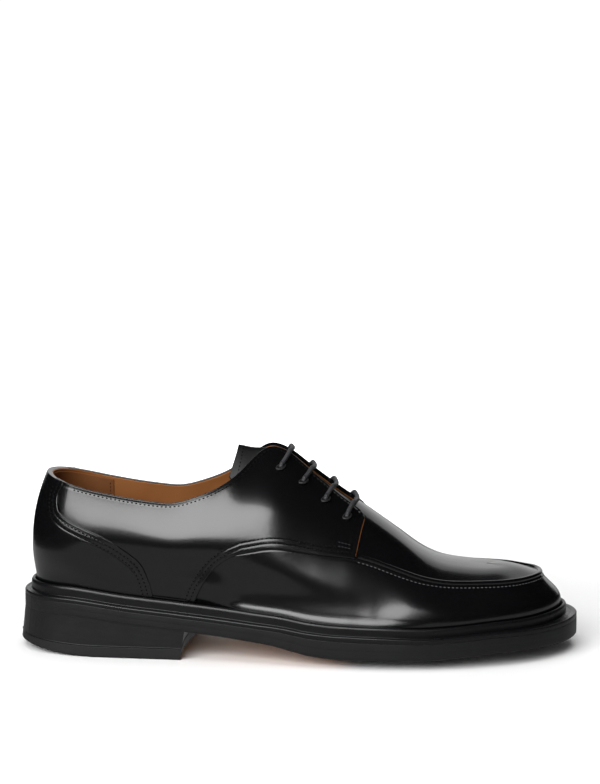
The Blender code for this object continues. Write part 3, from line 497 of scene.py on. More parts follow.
def pivot_x(x):
    """Station of the middle line that a line of the last points at."""
    def soft(value):
        return PIVOT_BLEND * np.logaddexp(0, value / PIVOT_BLEND)

    return HEEL_PIVOT_AT + soft(x - HEEL_PIVOT_AT) - soft(x - TOE_PIVOT_AT)


BACK, TIP = FOOT[:, 0].argmin(), FOOT[:, 0].argmax()
SIDE_COLUMNS = 340


def side_foot(side):
    """Foot of the upper along one side, evenly spaced from the heel's back to the tip of the toe."""
    count = len(FOOT)
    if side == LATERAL:
        order = np.arange(BACK, BACK + (TIP - BACK) % count + 1) % count
    else:
        order = np.arange(BACK, BACK - (BACK - TIP) % count - 1, -1) % count
    line = FOOT[order]
    at = np.linspace(0, lengths(line)[-1], SIDE_COLUMNS)
    return np.column_stack([at, even_line(line, SIDE_COLUMNS)])


SIDE_FEET = {side: side_foot(side) for side in (LATERAL, MEDIAL)}
SIDE_LENGTH = {side: foot[-1, 0] for side, foot in SIDE_FEET.items()}
ROUND = SIDE_LENGTH[LATERAL] + SIDE_LENGTH[MEDIAL]


def ring_at(side, x):
    """Place along the upper's foot, in mm: from the heel's back, forwards outside and on round the toe."""
    foot = SIDE_FEET[side]
    along = np.interp(x, foot[:, 1], foot[:, 0])
    return along if side == LATERAL else ROUND - along


def round_toe(x):
    """Both ends of a strip that runs from a station round the toe to the same station inside."""
    return ring_at(LATERAL, x), ring_at(MEDIAL, x)


def round_heel(x):
    """Both ends of a strip that runs from a station round the heel to the same station outside."""
    return ring_at(MEDIAL, x) - ROUND, ring_at(LATERAL, x)


LOW_ROWS = np.concatenate([np.linspace(-1, 0, 5)[:-1], np.linspace(0, 1, 49)])
HIGH_ROWS = np.concatenate([np.linspace(1, 2, 49), np.linspace(2, 3, 15)[1:]])


def side_lines(side, rows, x=None):
    """Points of the last for stations of a side, row by row up the line."""
    foot_x, foot_y = SIDE_FEET[side][:, 1:].T
    x, y = (foot_x, foot_y) if x is None else (np.asarray(x, float), np.interp(x, foot_x, foot_y))
    centre_x = pivot_x(x)
    centre = np.column_stack([centre_x, middle(centre_x)])
    way = np.column_stack([x, y]) - centre
    reach = np.linalg.norm(way, axis=1)
    out = way / reach[:, None]
    base = raised(centre_x) + BALL_CAMBER * run(RUN_CAMBER, centre_x)
    base = base + SOLE_THICKNESS * run(RUN_THICK, centre_x)
    bead = seat(x, y) + BEAD_HEIGHT
    break_reach = BALL_WIDTH * last(BREAK_LATERAL if side == LATERAL else BREAK_MEDIAL, x)
    break_z = base + INSTEP_HEIGHT * last(BREAK_UP, x)
    top_reach = BALL_WIDTH * last(TOP_REACH, x)
    top_z = base + INSTEP_HEIGHT * last(TOP_UP, x)
    wall_tilt, break_tilt, top_tilt = (np.radians(last(c, x)) for c in (WALL_TILT, BREAK_TILT, TOP_TILT))

    def bow(start, end, start_tilt, end_tilt, t):
        pull = 0.38 * np.hypot(*(end - start).T)[:, None]
        a = start + pull * np.column_stack([-np.cos(start_tilt), np.sin(start_tilt)])
        b = end - pull * np.column_stack([-np.cos(end_tilt), np.sin(end_tilt)])
        return (1 - t) ** 3 * start + 3 * (1 - t) ** 2 * t * a + 3 * (1 - t) * t * t * b + t**3 * end

    foot_point = np.column_stack([reach, bead])
    break_point = np.column_stack([break_reach, break_z])
    top_point = np.column_stack([top_reach, top_z])
    upright = np.radians(97) * np.ones(len(x))
    table = []
    for v in rows:
        if v < 0:
            place = np.column_stack([reach, bead + v * (BEAD_HEIGHT - GAP)])
        elif v <= 1 and rows[-1] <= 1:
            place = bow(foot_point, break_point, upright, wall_tilt, v)
        elif v <= 2:
            place = bow(break_point, top_point, break_tilt, top_tilt, v - 1)
        else:
            share = 3 - v
            rise = 0.5 * top_reach * np.tan(top_tilt)
            place = np.column_stack([top_reach * share, top_z + rise * (1 - share**2)])
        table.append(np.column_stack([centre + out * place[:, :1], place[:, 1]]))
    return np.array(table)


class Skin:
    """The outside of the last below or above the break, as a table of points and normals."""

    def __init__(self, rows):
        self.rows = rows
        lateral = side_lines(LATERAL, rows)
        medial = side_lines(MEDIAL, rows)[:, ::-1]
        columns = np.concatenate([lateral, medial[:, 1:-1]], axis=1)
        places = np.concatenate([SIDE_FEET[LATERAL][:, 0], ROUND - SIDE_FEET[MEDIAL][::-1, 0][1:-1]])
        count = 2 * SIDE_COLUMNS
        self.step = ROUND / count
        wrapped = np.concatenate([places, [ROUND]])
        at = np.arange(count) * self.step
        points = np.empty((len(rows), count, 3))
        for r in range(len(rows)):
            line = np.vstack([columns[r], columns[r][:1]])
            for k in range(3):
                points[r, :, k] = np.interp(at, wrapped, line[:, k])
        points = np.swapaxes(softened(np.swapaxes(points, 0, 1), 2), 0, 1)
        points = points + self.facing(points) * self.swell(points)[..., None]
        self.points = points
        self.normals = self.facing(points)
        if rows[-1] > 2:
            self.normals[-1] = self.normals[-2]

    def facing(self, points):
        along = np.roll(points, -1, axis=1) - np.roll(points, 1, axis=1)
        return unit(np.cross(along, np.gradient(points, self.rows, axis=0)))

    @staticmethod
    def swell(points):
        """A soft hollow and bulge low on the quarters, and a hollow along the vamp wall, in mm."""
        x, y, z = np.moveaxis(points, -1, 0)
        height = z - seat(x, y)

        def between(start, end, fade_in, fade_out):
            return eased(np.clip((x - start) / fade_in, 0, 1) * np.clip((end - x) / fade_out, 0, 1))

        def near(centre, spread):
            return np.exp(-0.5 * ((height - centre) / spread) ** 2)

        bulge = 1.5 * near(13, 6) * (height > 3)
        hollow = 1.6 * near(26 + (x - 82) * 0.06, 6)
        vamp_hollow = 2.9 * near(17, 9) * np.clip((height - 2) / 7, 0, 1)
        return between(24, 126, 22, 22) * (bulge - hollow) - between(104, 232, 22, 36) * vamp_hollow

    def at(self, ring, v):
        """Points and normals at places round the foot and shares up the line."""
        ring, v = np.broadcast_arrays(np.asarray(ring, float), np.asarray(v, float))
        v = np.clip(v, self.rows[0], self.rows[-1])
        row = np.clip(np.searchsorted(self.rows, v, side="right") - 1, 0, len(self.rows) - 2)
        t = ((v - self.rows[row]) / (self.rows[row + 1] - self.rows[row]))[..., None]
        where = (ring / self.step) % self.points.shape[1]
        column = where.astype(int) % self.points.shape[1]
        beside = (column + 1) % self.points.shape[1]
        u = (where - np.floor(where))[..., None]

        def look(table):
            low = table[row, column] * (1 - u) + table[row, beside] * u
            high = table[row + 1, column] * (1 - u) + table[row + 1, beside] * u
            return low * (1 - t) + high * t

        return look(self.points), unit(look(self.normals))


LOW_SKIN = Skin(LOW_ROWS)
HIGH_SKIN = Skin(HIGH_ROWS)


def skin(ring, v):
    """A point and normal of the last, from the wall below the break or the top above it."""
    ring, v = np.broadcast_arrays(np.asarray(ring, float), np.asarray(v, float))
    low_points, low_normals = LOW_SKIN.at(ring, np.minimum(v, 1))
    high_points, high_normals = HIGH_SKIN.at(ring, np.maximum(v, 1))
    above = (v > 1)[..., None]
    return np.where(above, high_points, low_points), np.where(above, high_normals, low_normals)


# Upper
# Smooth black calf: a vamp wall pulled over the last, and an apron let into it at the toe. Both are cut
# from 1.6 mm leather, polished, and lie under the quarters behind.

BLACK = (0.0022, 0.0022, 0.0025)
VAMP_FROM = 84.0
APRON_FROM = 184.0
GROOVE_WIDTH = 0.5
GROOVE_DEPTH = 0.14


def shoe_piece(name, body, material, replaces=()):
    """A piece of the shoe that rides on its one body."""
    item = new_object(name, body, material)
    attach(item, "root")
    if replaces:
        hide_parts(*replaces)
    return item


def grid_piece(name, points, normals, material, replaces=(), attributes=None, fold=1e-6):
    """A sheet from a grid of points, with the leather's own normals and any attributes."""
    rows, columns = points.shape[:2]
    body = bmesh.new()
    layer = body.verts.layers.int.new("order")
    bmesh.ops.create_grid(body, x_segments=columns - 1, y_segments=rows - 1, size=1.0)
    spots = to_frame(points).reshape(-1, 3)
    for vertex in body.verts:
        column = round((vertex.co.x + 1) / 2 * (columns - 1))
        row = round((vertex.co.y + 1) / 2 * (rows - 1))
        vertex[layer] = row * columns + column
        vertex.co = spots[vertex[layer]]
    bmesh.ops.remove_doubles(body, verts=body.verts, dist=fold)
    order = [vertex[layer] for vertex in body.verts]
    flat_normals = normals.reshape(-1, 3)
    face = max(body.faces, key=lambda f: f.calc_area())
    if face.normal.dot(Vector(flat_normals[face.verts[0][layer]])) < 0:
        bmesh.ops.reverse_faces(body, faces=body.faces)
    mesh = shoe_piece(name, body, material, replaces).data
    mesh.attributes.remove(mesh.attributes["order"])
    mesh.shade_smooth()
    mesh.normals_split_custom_set_from_vertices(flat_normals[order])
    for key, values in (attributes or {}).items():
        data = mesh.attributes.new(key, "FLOAT", "POINT").data
        data.foreach_set("value", np.asarray(values, float).reshape(-1)[order])


def rolled(points, normals, heights, rims, edge_radius, low):
    """The sheet with its edge rolled over and brought down on the named sides of the grid."""
    down = 1 if np.mean(heights) > low else -1
    for side in rims:
        axis = 0 if side in ("bottom", "top") else 1
        first = side in ("bottom", "start")
        last_one, next_in = (0, 1) if first else (-1, -2)
        edge, normal, top = (np.take(a, last_one, axis=axis) for a in (points, normals, heights))
        outward = unit(np.cross(np.gradient(edge, axis=0), normal))
        away = edge - np.take(points, next_in, axis=axis)
        outward *= np.sign(np.sum(outward * away, axis=1))[:, None]
        rows, turned = [], []
        for turn in np.linspace(0, math.pi / 2, 5)[1:]:
            fall = edge_radius * (1 - math.cos(turn)) * down
            rows.append(edge + outward * edge_radius * math.sin(turn) - normal * fall)
            turned.append(normal * math.cos(turn) * down + outward * math.sin(turn))
        rows.append(edge + outward * edge_radius + normal * (low - top)[:, None])
        turned.append(outward)
        order = slice(None, None, -1 if first else 1)
        rim = (np.stack(rows[order], axis=axis), np.stack(turned[order], axis=axis) * down,
               np.repeat(np.expand_dims(top, axis), len(rows), axis=axis))
        points, normals, heights = (np.concatenate([new, old] if first else [old, new], axis=axis)
                                    for new, old in zip(rim, (points, normals, heights)))
    return points, normals * down


def even_grid(start, end, low, high, columns, rows):
    """Places round the foot and shares up the line, evenly spaced over a strip of the last."""
    return np.broadcast_arrays(np.linspace(start, end, columns), np.linspace(low, high, rows)[:, None])


def leather_sheet(ring, v, height, rims, edge_radius=0.35, low=0.1):
    """A leather over the last, at a height over it, with rolled edges on the named sides."""
    points, normals = skin(ring, v)
    heights = np.full(ring.shape, float(height))
    return rolled(points + normals * height, normals, heights, rims, edge_radius, low)


def distance_to(points, line):
    """Distance of each point from a line of points, in mm."""
    flat = points.reshape(-1, 3)
    found = np.empty(len(flat))
    for start in range(0, len(flat), 4000):
        chunk = flat[start:start + 4000]
        found[start:start + 4000] = np.sqrt(((chunk[:, None] - line[None]) ** 2).sum(-1).min(1))
    return found.reshape(points.shape[:-1])


def polished_leather(name, grooves=None, clouded=True):
    """Black polished calf, with the hollows that rows of stitches pull into it."""
    finish = Finish(name, BLACK, 0.2, Specular_IOR_Level=0.5, Coat_Weight=0.3, Coat_Roughness=0.1)
    pores, creases, waves = finish.noise(2600.0), finish.noise(420.0, 3.0, 0.6), finish.noise(38.0, 1.0)
    height = pores * 0.012 + creases * 0.02 + waves * 0.1
    for edge, rows in (grooves or {}).items():
        away = finish.attribute(edge)
        for row in rows:
            height = height - away.bell(row, GROOVE_WIDTH) * GROOVE_DEPTH
    finish.relief(height)
    if clouded:
        finish.roughness(finish.noise(60.0, 3.0) * 0.06 + 0.17)
    return finish.material


def vamp_wall():
    points, normals = LOW_SKIN.at(*even_grid(*round_toe(VAMP_FROM), -0.7, 1.0, 440, 46))
    seam, _ = LOW_SKIN.at(np.linspace(*round_toe(VAMP_FROM), 900), 1.0)
    away = {"from_seam": distance_to(points, seam)}
    finish = polished_leather("vamp_leather", {"from_seam": (1.6,)})
    grid_piece("vamp_wall", points, normals, finish, ("upper",), away)


def apron():
    points, normals = HIGH_SKIN.at(*even_grid(*round_toe(APRON_FROM), 1.0, 3.0, 281, 40))
    seam, _ = HIGH_SKIN.at(np.linspace(*round_toe(APRON_FROM), 900), 1.0)
    swell = 0.6 * np.exp(-((distance_to(points, seam) - 2.4) / 2.0) ** 2)
    points = points + normals * swell[..., None]
    grid_piece("apron", points, normals, polished_leather("apron_leather"), fold=2e-5)


vamp_wall()
apron()


# Quarters
# Two sides of 1.2 mm calf over the vamp, from the counter to the tab in front of the lacing. Two rows of
# stitches hold the curved front edge down, and one runs round the collar and the facing.

COUNTER_EDGE = np.array([
    (0.000, 1.000), (0.150, 0.985), (0.275, 0.956), (0.400, 0.912), (0.475, 0.866), (0.575, 0.730),
    (0.650, 0.572), (0.700, 0.437), (0.750, 0.324), (0.800, 0.256), (0.900, 0.230), (1.000, 0.262),
])
QUARTER_EDGE = np.array([(0.00, 0.000), (0.20, 0.080), (0.55, 0.260), (0.80, 0.480), (0.93, 0.720), (1.00, 1.000)])
BACK_X = FOOT[:, 0].min()
QUARTER_HEIGHT = GAP + QUARTER_LEATHER
COUNTER_HEIGHT = GAP + COUNTER_LEATHER
TAB_ROUND = 5.0
TAB_LINE = 34.0
TOP_ROW_IN = 1.7
THREAD_SUNK = 0.02


def counter_x(v):
    return BACK_X + smooth(v / 2, COUNTER_EDGE[:, 0], COUNTER_EDGE[:, 1]) * (COUNTER_FOOT_AT - BACK_X)


def quarter_front_x(v):
    share = smooth(np.clip(v, 0, 1), QUARTER_EDGE[:, 0], QUARTER_EDGE[:, 1])
    return QUARTER_FOOT_AT + share * (QUARTER_BEND_AT - QUARTER_FOOT_AT)


def tab_top(x):
    """Share up the line of the facing's edge, rounded off at the corner of the tab."""
    near = np.clip(TAB_ROUND - (THROAT_AT - np.asarray(x, float)), 0, TAB_ROUND)
    return 2.0 - (TAB_ROUND - np.sqrt(TAB_ROUND**2 - near**2)) / TAB_LINE


def quarter_grid(side):
    """Places round the foot and shares up the line for the quarter, from the counter to the tab."""
    u = np.linspace(0, 1, 240)
    w = np.linspace(0, 1, 80)[:, None]
    # Bottom edge: behind the bead, up the curved front edge, and along the break to the tab. Top edge: along
    # the collar and the facing.
    edge_v = np.linspace(-0.5, 1.0, 200)
    edge_ring = ring_at(side, quarter_front_x(edge_v))
    knots = np.concatenate([[0.0], np.linspace(0.22, 0.52, 200), [1.0]])
    bottom_ring = np.concatenate([[ring_at(side, 66.0)], edge_ring, [ring_at(side, TAB_FRONT_AT)]])
    bottom_v = np.concatenate([[-0.5], edge_v, [1.0]])
    top_x = np.interp(u, [0.0, 0.22, 0.52, 0.72, 1.0], [20.0, 72.0, 122.0, 146.0, THROAT_AT])
    ring = np.interp(u, knots, bottom_ring) * (1 - w) + ring_at(side, top_x) * w
    v = np.interp(u, knots, bottom_v) * (1 - w) + tab_top(top_x) * w
    return ring, v


def quarter(side, name):
    ring, v = quarter_grid(side)
    points, normals = leather_sheet(ring, v, QUARTER_HEIGHT, ("bottom", "top", "end"), 0.6, -0.9)
    base, _ = skin(ring, v)
    away = {"from_front": distance_to(points, np.vstack([base[0], base[:, -1]])),
            "from_top": distance_to(points, base[-1])}
    leather = polished_leather(name + "_leather", {"from_front": (2.4, 4.6), "from_top": (1.9,)}, False)
    grid_piece(name, points, normals, leather, (name,), away)


for side_of, side_name in SIDES:
    quarter(side_of, f"quarter_{side_name}")


def beside(ring, v, distance):
    """A line on the last, a distance in mm to the left of another."""
    ring, v = np.array(ring, float), np.array(v, float)
    steps = max(1, int(abs(distance) + 0.5))
    for _ in range(steps):
        p, normal = skin(ring, v)
        across = unit(np.cross(normal, np.gradient(p, axis=0))) * (distance / steps)
        along = (skin(ring + 0.2, v)[0] - p) / 0.2
        back = np.where(v > 1.99, -0.01, 0.01)
        up = (skin(ring, v + back)[0] - p) / back[:, None]
        a, b, c = (along**2).sum(1), (along * up).sum(1), (up**2).sum(1)
        d, e = (along * across).sum(1), (up * across).sum(1)
        size = a * c - b * b
        ring = ring + (d * c - e * b) / size
        v = v + (e * a - d * b) / size
    return ring, v


def sewn(name, ring, v, height, colour=(0.002, 0.002, 0.002), pitch=2.3, length=1.35, width=0.85, over=skin):
    """A row of stitches along a line of the last, one small bead of thread for each."""
    points, normals = over(np.asarray(ring), np.asarray(v))
    points = points + normals * height
    along = lengths(points)
    count = max(2, int(along[-1] / pitch))
    body = bmesh.new()
    for at in (np.arange(count) + 0.5) * along[-1] / count:
        p, n, ahead, behind = (np.array([np.interp(at + s, along, a[:, k]) for k in range(3)])
                               for a, s in ((points, 0), (normals, 0), (points, 0.5), (points, -0.5)))
        n = unit(n)
        t = ahead - behind
        t = unit(t - n * (t @ n))
        axes = np.column_stack([t * length, np.cross(n, t) * width, n * width * 0.8]) * MM
        place = Matrix.Translation(to_frame(p)) @ Matrix(axes.tolist()).to_4x4()
        bmesh.ops.create_uvsphere(body, u_segments=6, v_segments=4, radius=0.5, matrix=place)
    bmesh.ops.recalc_face_normals(body, faces=body.faces)
    thread = Finish(name + "_thread", colour, 0.7, Specular_IOR_Level=0.12)
    thread.relief(thread.noise(3000.0), 0.3, 0.3 * MM)
    shoe_piece(name, body, thread.material).data.shade_smooth()


def quarter_stitches(side, name):
    low = np.linspace(-0.25, 1.0, 90)
    ring = np.concatenate([ring_at(side, quarter_front_x(low)), ring_at(side, np.linspace(124.4, 181.5, 110))])
    v = np.concatenate([low, np.ones(110)])
    left = -1 if side == LATERAL else 1
    height = QUARTER_HEIGHT - THREAD_SUNK
    for number, distance in ((1, 2.2), (2, 4.7)):
        r, s = beside(ring, v, -left * distance)
        keep = (s > -0.2) & (s < 1.9)
        sewn(f"{name}_stitch_{number}", r[keep], s[keep], height)
    x = np.linspace(counter_x(2.0) + 6, 137.0, 200)
    r, s = beside(ring_at(side, x), np.full(200, 2.0), left * TOP_ROW_IN)
    sewn(f"{name}_collar_stitch", r, s, height)
    for row, share in ((1, 1.13), (2, 1.19)):
        sewn(f"{name}_tack_{row}", ring_at(side, np.linspace(175.5, 182.5, 20)), np.full(20, share),
             QUARTER_HEIGHT, (0.03, 0.03, 0.033), 1.6, 1.5, 0.5)
    r, s = beside(ring_at(side, np.linspace(143.0, 181.0, 120)), np.full(120, 2.0), left * TOP_ROW_IN)
    sewn(f"{name}_facing_stitch", r, s, height)


for side_of, side_name in SIDES:
    quarter_stitches(side_of, f"quarter_{side_name}")


# Counter
# The heel piece: one leather wrapped round the back over both quarters, with a curved front edge that
# two rows of stitches hold down on each side.

def counter():
    v = np.linspace(-0.5, 2.0, 90)[:, None] * np.ones(260)
    start, end = (ring[:, None] for ring in round_heel(counter_x(np.clip(v[:, 0], 0, 2))))
    ring = start + (end - start) * np.linspace(0, 1, 260)
    points, normals = leather_sheet(ring, v, COUNTER_HEIGHT, ("start", "end", "top"), 0.4, -0.9)
    edges = np.vstack([skin(ring[:, 0], v[:, 0])[0], skin(ring[:, -1], v[:, -1])[0]])
    away = {"from_front": distance_to(points, edges),
            "from_top": distance_to(points, skin(ring[-1], v[-1])[0])}
    leather = polished_leather("counter_leather", {"from_front": (3.0, 5.6), "from_top": (1.9,)}, False)
    grid_piece("counter", points, normals, leather, ("counter",), away)
    v_line = np.linspace(0.0, 1.95, 160)
    for side, name in SIDES:
        for number, distance in ((1, 2.2), (2, 4.8)):
            r, s = beside(ring_at(side, counter_x(v_line)), v_line, -side * distance)
            keep = s < 1.93
            sewn(f"counter_{name}_stitch_{number}", r[keep], s[keep], COUNTER_HEIGHT - THREAD_SUNK)


counter()


# Lining
# Tan calf inside the whole upper, with a rougher grip sewn in at the heel. It is brought up to the collar
# and to the front edge of the facings, where its cut edge shows beside the black leather.

GRIP_AT = 47.0
GRIP_LEATHER = 0.5
FACING_EDGE_FROM = 150.0
FRONT_LINING_FROM = 186.0


def tan_leather(name):
    finish = Finish(name, (0.25, 0.10, 0.032), 0.55, Specular_IOR_Level=0.35)
    tone = finish.noise(22.0, 3.0).step(0.3, 0.7)
    finish.colour(finish.mix(tone, (0.20, 0.072, 0.018), (0.27, 0.104, 0.030)))
    finish.relief(finish.noise(1500.0) * 0.03 + finish.noise(90.0) * 0.2)
    return finish.material


TAN = tan_leather("tan_lining")


def rear_lining():
    strip = even_grid(*round_heel(THROAT_AT), -0.9, 2.0, 420, 60)
    points, normals = leather_sheet(*strip, -UPPER_WALL, ("top",), 0.3, -0.8)
    grid_piece("rear_lining", points, normals, TAN)


def facing_edge(side, name):
    share, up = np.linspace(0, 1, 60), np.linspace(0, 1, 40)[:, None]
    end_x = np.linspace(TAB_FRONT_AT, THROAT_AT, 40) + 0.5
    ring = ring_at(side, FACING_EDGE_FROM) * (1 - share) + ring_at(side, end_x)[:, None] * share
    top = tab_top(FACING_EDGE_FROM + (THROAT_AT - FACING_EDGE_FROM) * share)
    points, normals = leather_sheet(ring, 1.03 + up * (top - 1.03), QUARTER_HEIGHT - 0.7, ("end",), 0.75, -UPPER_WALL)
    grid_piece(name, points, normals, TAN)


def heel_grip():
    grip = Finish("heel_grip_leather", (0.15, 0.055, 0.016), 0.7, Specular_IOR_Level=0.25)
    grip.colour(grip.mix(grip.noise(30.0, 3.0).step(0.3, 0.7), (0.13, 0.046, 0.013), (0.18, 0.068, 0.021)))
    grip.relief(grip.noise(1800.0) * 0.06)
    strip = even_grid(*round_heel(GRIP_AT), -0.5, 1.97, 120, 40)
    height = -UPPER_WALL - GRIP_LEATHER
    points, normals = leather_sheet(*strip, height, ("top", "start", "end"), 0.25, -UPPER_WALL)
    grid_piece("heel_grip", points, normals, grip.material)
    for side, name in SIDES:
        sewn(f"heel_grip_{name}_stitch", np.full(60, ring_at(side, GRIP_AT - 1.8)), np.linspace(0.2, 1.93, 60),
             height - THREAD_SUNK, (0.03, 0.012, 0.005), 2.2, 1.3, 0.6)


def front_lining():
    points, normals = skin(*even_grid(*round_toe(FRONT_LINING_FROM), -0.9, 3.0, 200, 50))
    grid_piece("front_lining", points - normals * UPPER_WALL, -normals, TAN, fold=2e-5)


rear_lining()
for side_of, side_name in SIDES:
    facing_edge(side_of, f"facing_edge_{side_name}")
heel_grip()
front_lining()


# Tongue
# Black calf lined with tan, under both facings and under the back edge of the apron. Its top stands a
# little out of the collar.

TONGUE_HALF_WIDTH = 20.0
TONGUE_TOP_AT = 121.0
TONGUE_LEATHER = 2.4
TONGUE_FALL = 11.0
TONGUE_LIFT = np.array([(0.0, 0.012), (0.5, -0.004), (1.0, 0.000)])
SECTIONS = {}


def over_throat(x, offset):
    """A point of the last's outside over the throat, carried on to the rear of the facings."""
    side, at = LATERAL if offset < 0 else MEDIAL, max(x, FACING_TOP_AT)
    if (side, at) not in SECTIONS:
        SECTIONS[side, at] = side_lines(side, np.linspace(1.0001, 3, 120), [at])[:, 0]
    section = SECTIONS[side, at]
    centre = middle(at)
    reach = np.abs(section[:, 1] - centre)[::-1]
    z = float(np.interp(abs(offset), reach, section[::-1, 2]))
    past = min(max((FACING_TOP_AT - x) / (FACING_TOP_AT - TONGUE_TOP_AT), 0), 1)
    lift = INSTEP_HEIGHT * smooth(1 - past, TONGUE_LIFT[:, 0], TONGUE_LIFT[:, 1])
    fall = TONGUE_FALL * math.sqrt(past) * (offset / TONGUE_HALF_WIDTH) ** 2
    return np.array([x, centre + offset, z + lift - fall])


def tongue():
    outer = UPPER_WALL + 4 * GAP
    stations, shares = np.linspace(TONGUE_TOP_AT, THROAT_AT + 9.0, 60), np.linspace(-1, 1, 33)
    narrow = smooth((stations - TONGUE_TOP_AT) / (THROAT_AT - TONGUE_TOP_AT),
                    np.array([0.0, 0.12, 0.5, 1.0]), np.array([0.72, 0.95, 1.0, 0.85]))
    points = []
    for x, n in zip(stations, narrow):
        bow = 5.0 * max(0.0, 1 - (x - TONGUE_TOP_AT) / 20.0)
        points.append([over_throat(x - bow * abs(s) ** 1.6, s * TONGUE_HALF_WIDTH * n) for s in shares])
    points = np.array(points)
    normals = unit(np.cross(np.gradient(points, axis=0), np.gradient(points, axis=1)))
    sheet, facing = rolled(points - normals * outer, normals, np.full(points.shape[:2], -outer),
                           ("bottom", "start", "end"), 0.5, -outer - TONGUE_LEATHER)
    black = Finish("tongue_leather", BLACK, 0.42, Specular_IOR_Level=0.5)
    black.relief(black.noise(1800.0) * 0.04 + black.noise(300.0) * 0.06)
    grid_piece("tongue", sheet, facing, black.material, ("tongue",))
    sewn("tongue_stitch", shares, shares, -outer - THREAD_SUNK, (0.004, 0.004, 0.004), 2.2, 1.3, 0.8,
         over=lambda *_: (points[2], normals[2]))
    grid_piece("tongue_lining", points - normals * (outer + TONGUE_LEATHER), -normals, TAN)


tongue()


# Apron seam
# The edge of the apron is folded and sewn to the vamp wall in a raised ridge, from tab to tab round the
# toe. A row of stitches holds it just below the ridge.

SEAM_WIDTH = 2.8
SEAM_RISE = 1.4
SEAM_FROM = TAB_FRONT_AT + 2.0


def apron_seam():
    ring = np.linspace(*round_toe(SEAM_FROM), 420)
    edge, inwards = LOW_SKIN.at(ring, 1.0)[0], HIGH_SKIN.at(ring, 1.25)[0]
    along = unit(np.gradient(edge, axis=0))
    inwards = inwards - edge
    inwards = unit(inwards - along * np.sum(inwards * along, axis=1)[:, None])
    lift = np.cross(inwards, along)
    lift *= np.sign(lift[:, 2])[:, None]
    rows, facing = [], []
    for turn in np.linspace(-0.15 * math.pi, 1.1 * math.pi, 15):
        out, up = math.cos(turn), math.sin(turn)
        rows.append(edge + inwards * (SEAM_WIDTH * (0.46 - 0.5 * out)) + lift * (0.35 + SEAM_RISE * up))
        facing.append(-inwards * out * SEAM_RISE + lift * up * SEAM_WIDTH * 0.5)
    leather = polished_leather("apron_seam_leather")
    grid_piece("apron_seam", np.array(rows), unit(np.array(facing)), leather, ("apron_seam",))
    r, s = beside(np.linspace(*round_toe(SEAM_FROM), 900), np.full(900, 0.999), -1.6)
    sewn("apron_seam_stitch", r, s, 0.12, (0.1, 0.1, 0.105), 2.3, 1.5, 0.5)


apron_seam()


# Laces
# One round waxed cotton lace, 2.5 mm thick, crosses four times between the facings. It goes down through
# blind eyelets punched in the leather, each with a ring pressed round it.

LACE_DIAMETER = 2.5
LACE_FROM_EDGE = 8.0
LACE_LEAN = 4.0
LACE_AT = {"lace_bar_1": 144.2, "lace_bar_2": 156.2, "lace_bar_3": 168.3, "lace_bar_4": 180.0}
LACE_RADIUS = LACE_DIAMETER / 2
LACE_CLEAR = 0.45
EYELET_BEND = 1.8
EYELET_RING = 2.1
HOLE_RADIUS = 1.7


def tube(name, path, radius, material, replaces=(), closed=False, sides=16):
    """A round cord or ring along a path, with the length along it and the turn round it."""
    ahead = np.roll(path, -1, axis=0) - np.roll(path, 1, axis=0) if closed else np.gradient(path, axis=0)
    tangent = unit(ahead)
    up = np.zeros_like(path)
    up[0] = np.cross(tangent[0], (0.3, 0.1, 1.0))
    for i in range(len(path)):
        before = up[max(i - 1, 0)]
        up[i] = unit(before - tangent[i] * (before @ tangent[i]))
    aside = np.cross(tangent, up)
    if closed:
        path, up, aside = (np.vstack([a, a[:1]]) for a in (path, up, aside))
    turn = np.linspace(0, 2 * math.pi, sides + 1)
    facing = up[:, None] * np.cos(turn)[:, None] + aside[:, None] * np.sin(turn)[:, None]
    along, turn = np.broadcast_arrays(lengths(path)[:, None], turn)
    grid_piece(name, path[:, None] + facing * radius, facing, material, replaces, {"along": along, "turn": turn})


def lace_finish():
    finish = Finish("waxed_lace", (0.016, 0.016, 0.018), 0.5, Specular_IOR_Level=0.5)
    along, turn = finish.attribute("along"), finish.attribute("turn")
    strand, crossing = (along * 5.2 + turn * 2.0).with_("SINE"), (along * 5.2 - turn * 2.0).with_("SINE")
    weave = strand.with_("MAXIMUM", crossing)
    finish.relief(weave * 0.12 + finish.noise(4000.0) * 0.03)
    # The colour is painted lighter on the strands' tops and darker in the hollows between them: painted highlight and
    # painted shade of the weave.
    finish.colour(finish.mix(weave.step(-0.2, 1.0), (0.006, 0.006, 0.007), (0.028, 0.028, 0.031)))
    return finish.material


def eyelet_finishes():
    pressed = Finish("eyelet_leather", (0.012, 0.012, 0.013), 0.4)
    pressed.relief(pressed.noise(1500.0) * 0.05)
    # A flat black disc for each hole stands in for the shade inside it: painted shade.
    hole_shade = Finish("eyelet_hole_shade", (0.002, 0.002, 0.002), 0.9)
    hole_shade.roughness(hole_shade.noise(900.0) * 0.1 + 0.85)
    return pressed.material, hole_shade.material


def lace_crossing(x):
    """Middle line of one crossing, from one facing over the tongue to the other."""
    path = []
    for share in np.linspace(-1, 1, 41):
        station = x + LACE_LEAN * (1 - share**2)
        top = side_lines(LATERAL, np.array([1.5, 2.0]), [station])[1, 0]
        reach = abs(top[1] - middle(station))
        offset = share * (reach + LACE_FROM_EDGE)
        p = over_throat(station, offset)
        normal = unit(np.cross(over_throat(station + 2, offset) - p, over_throat(station, offset + 0.5) - p))
        bridged = max(p[2] - top[2], 0) if abs(offset) < reach else 0
        path.append(p + normal * (QUARTER_HEIGHT + LACE_CLEAR + LACE_RADIUS) - (0, 0, bridged))
    return np.array(path)


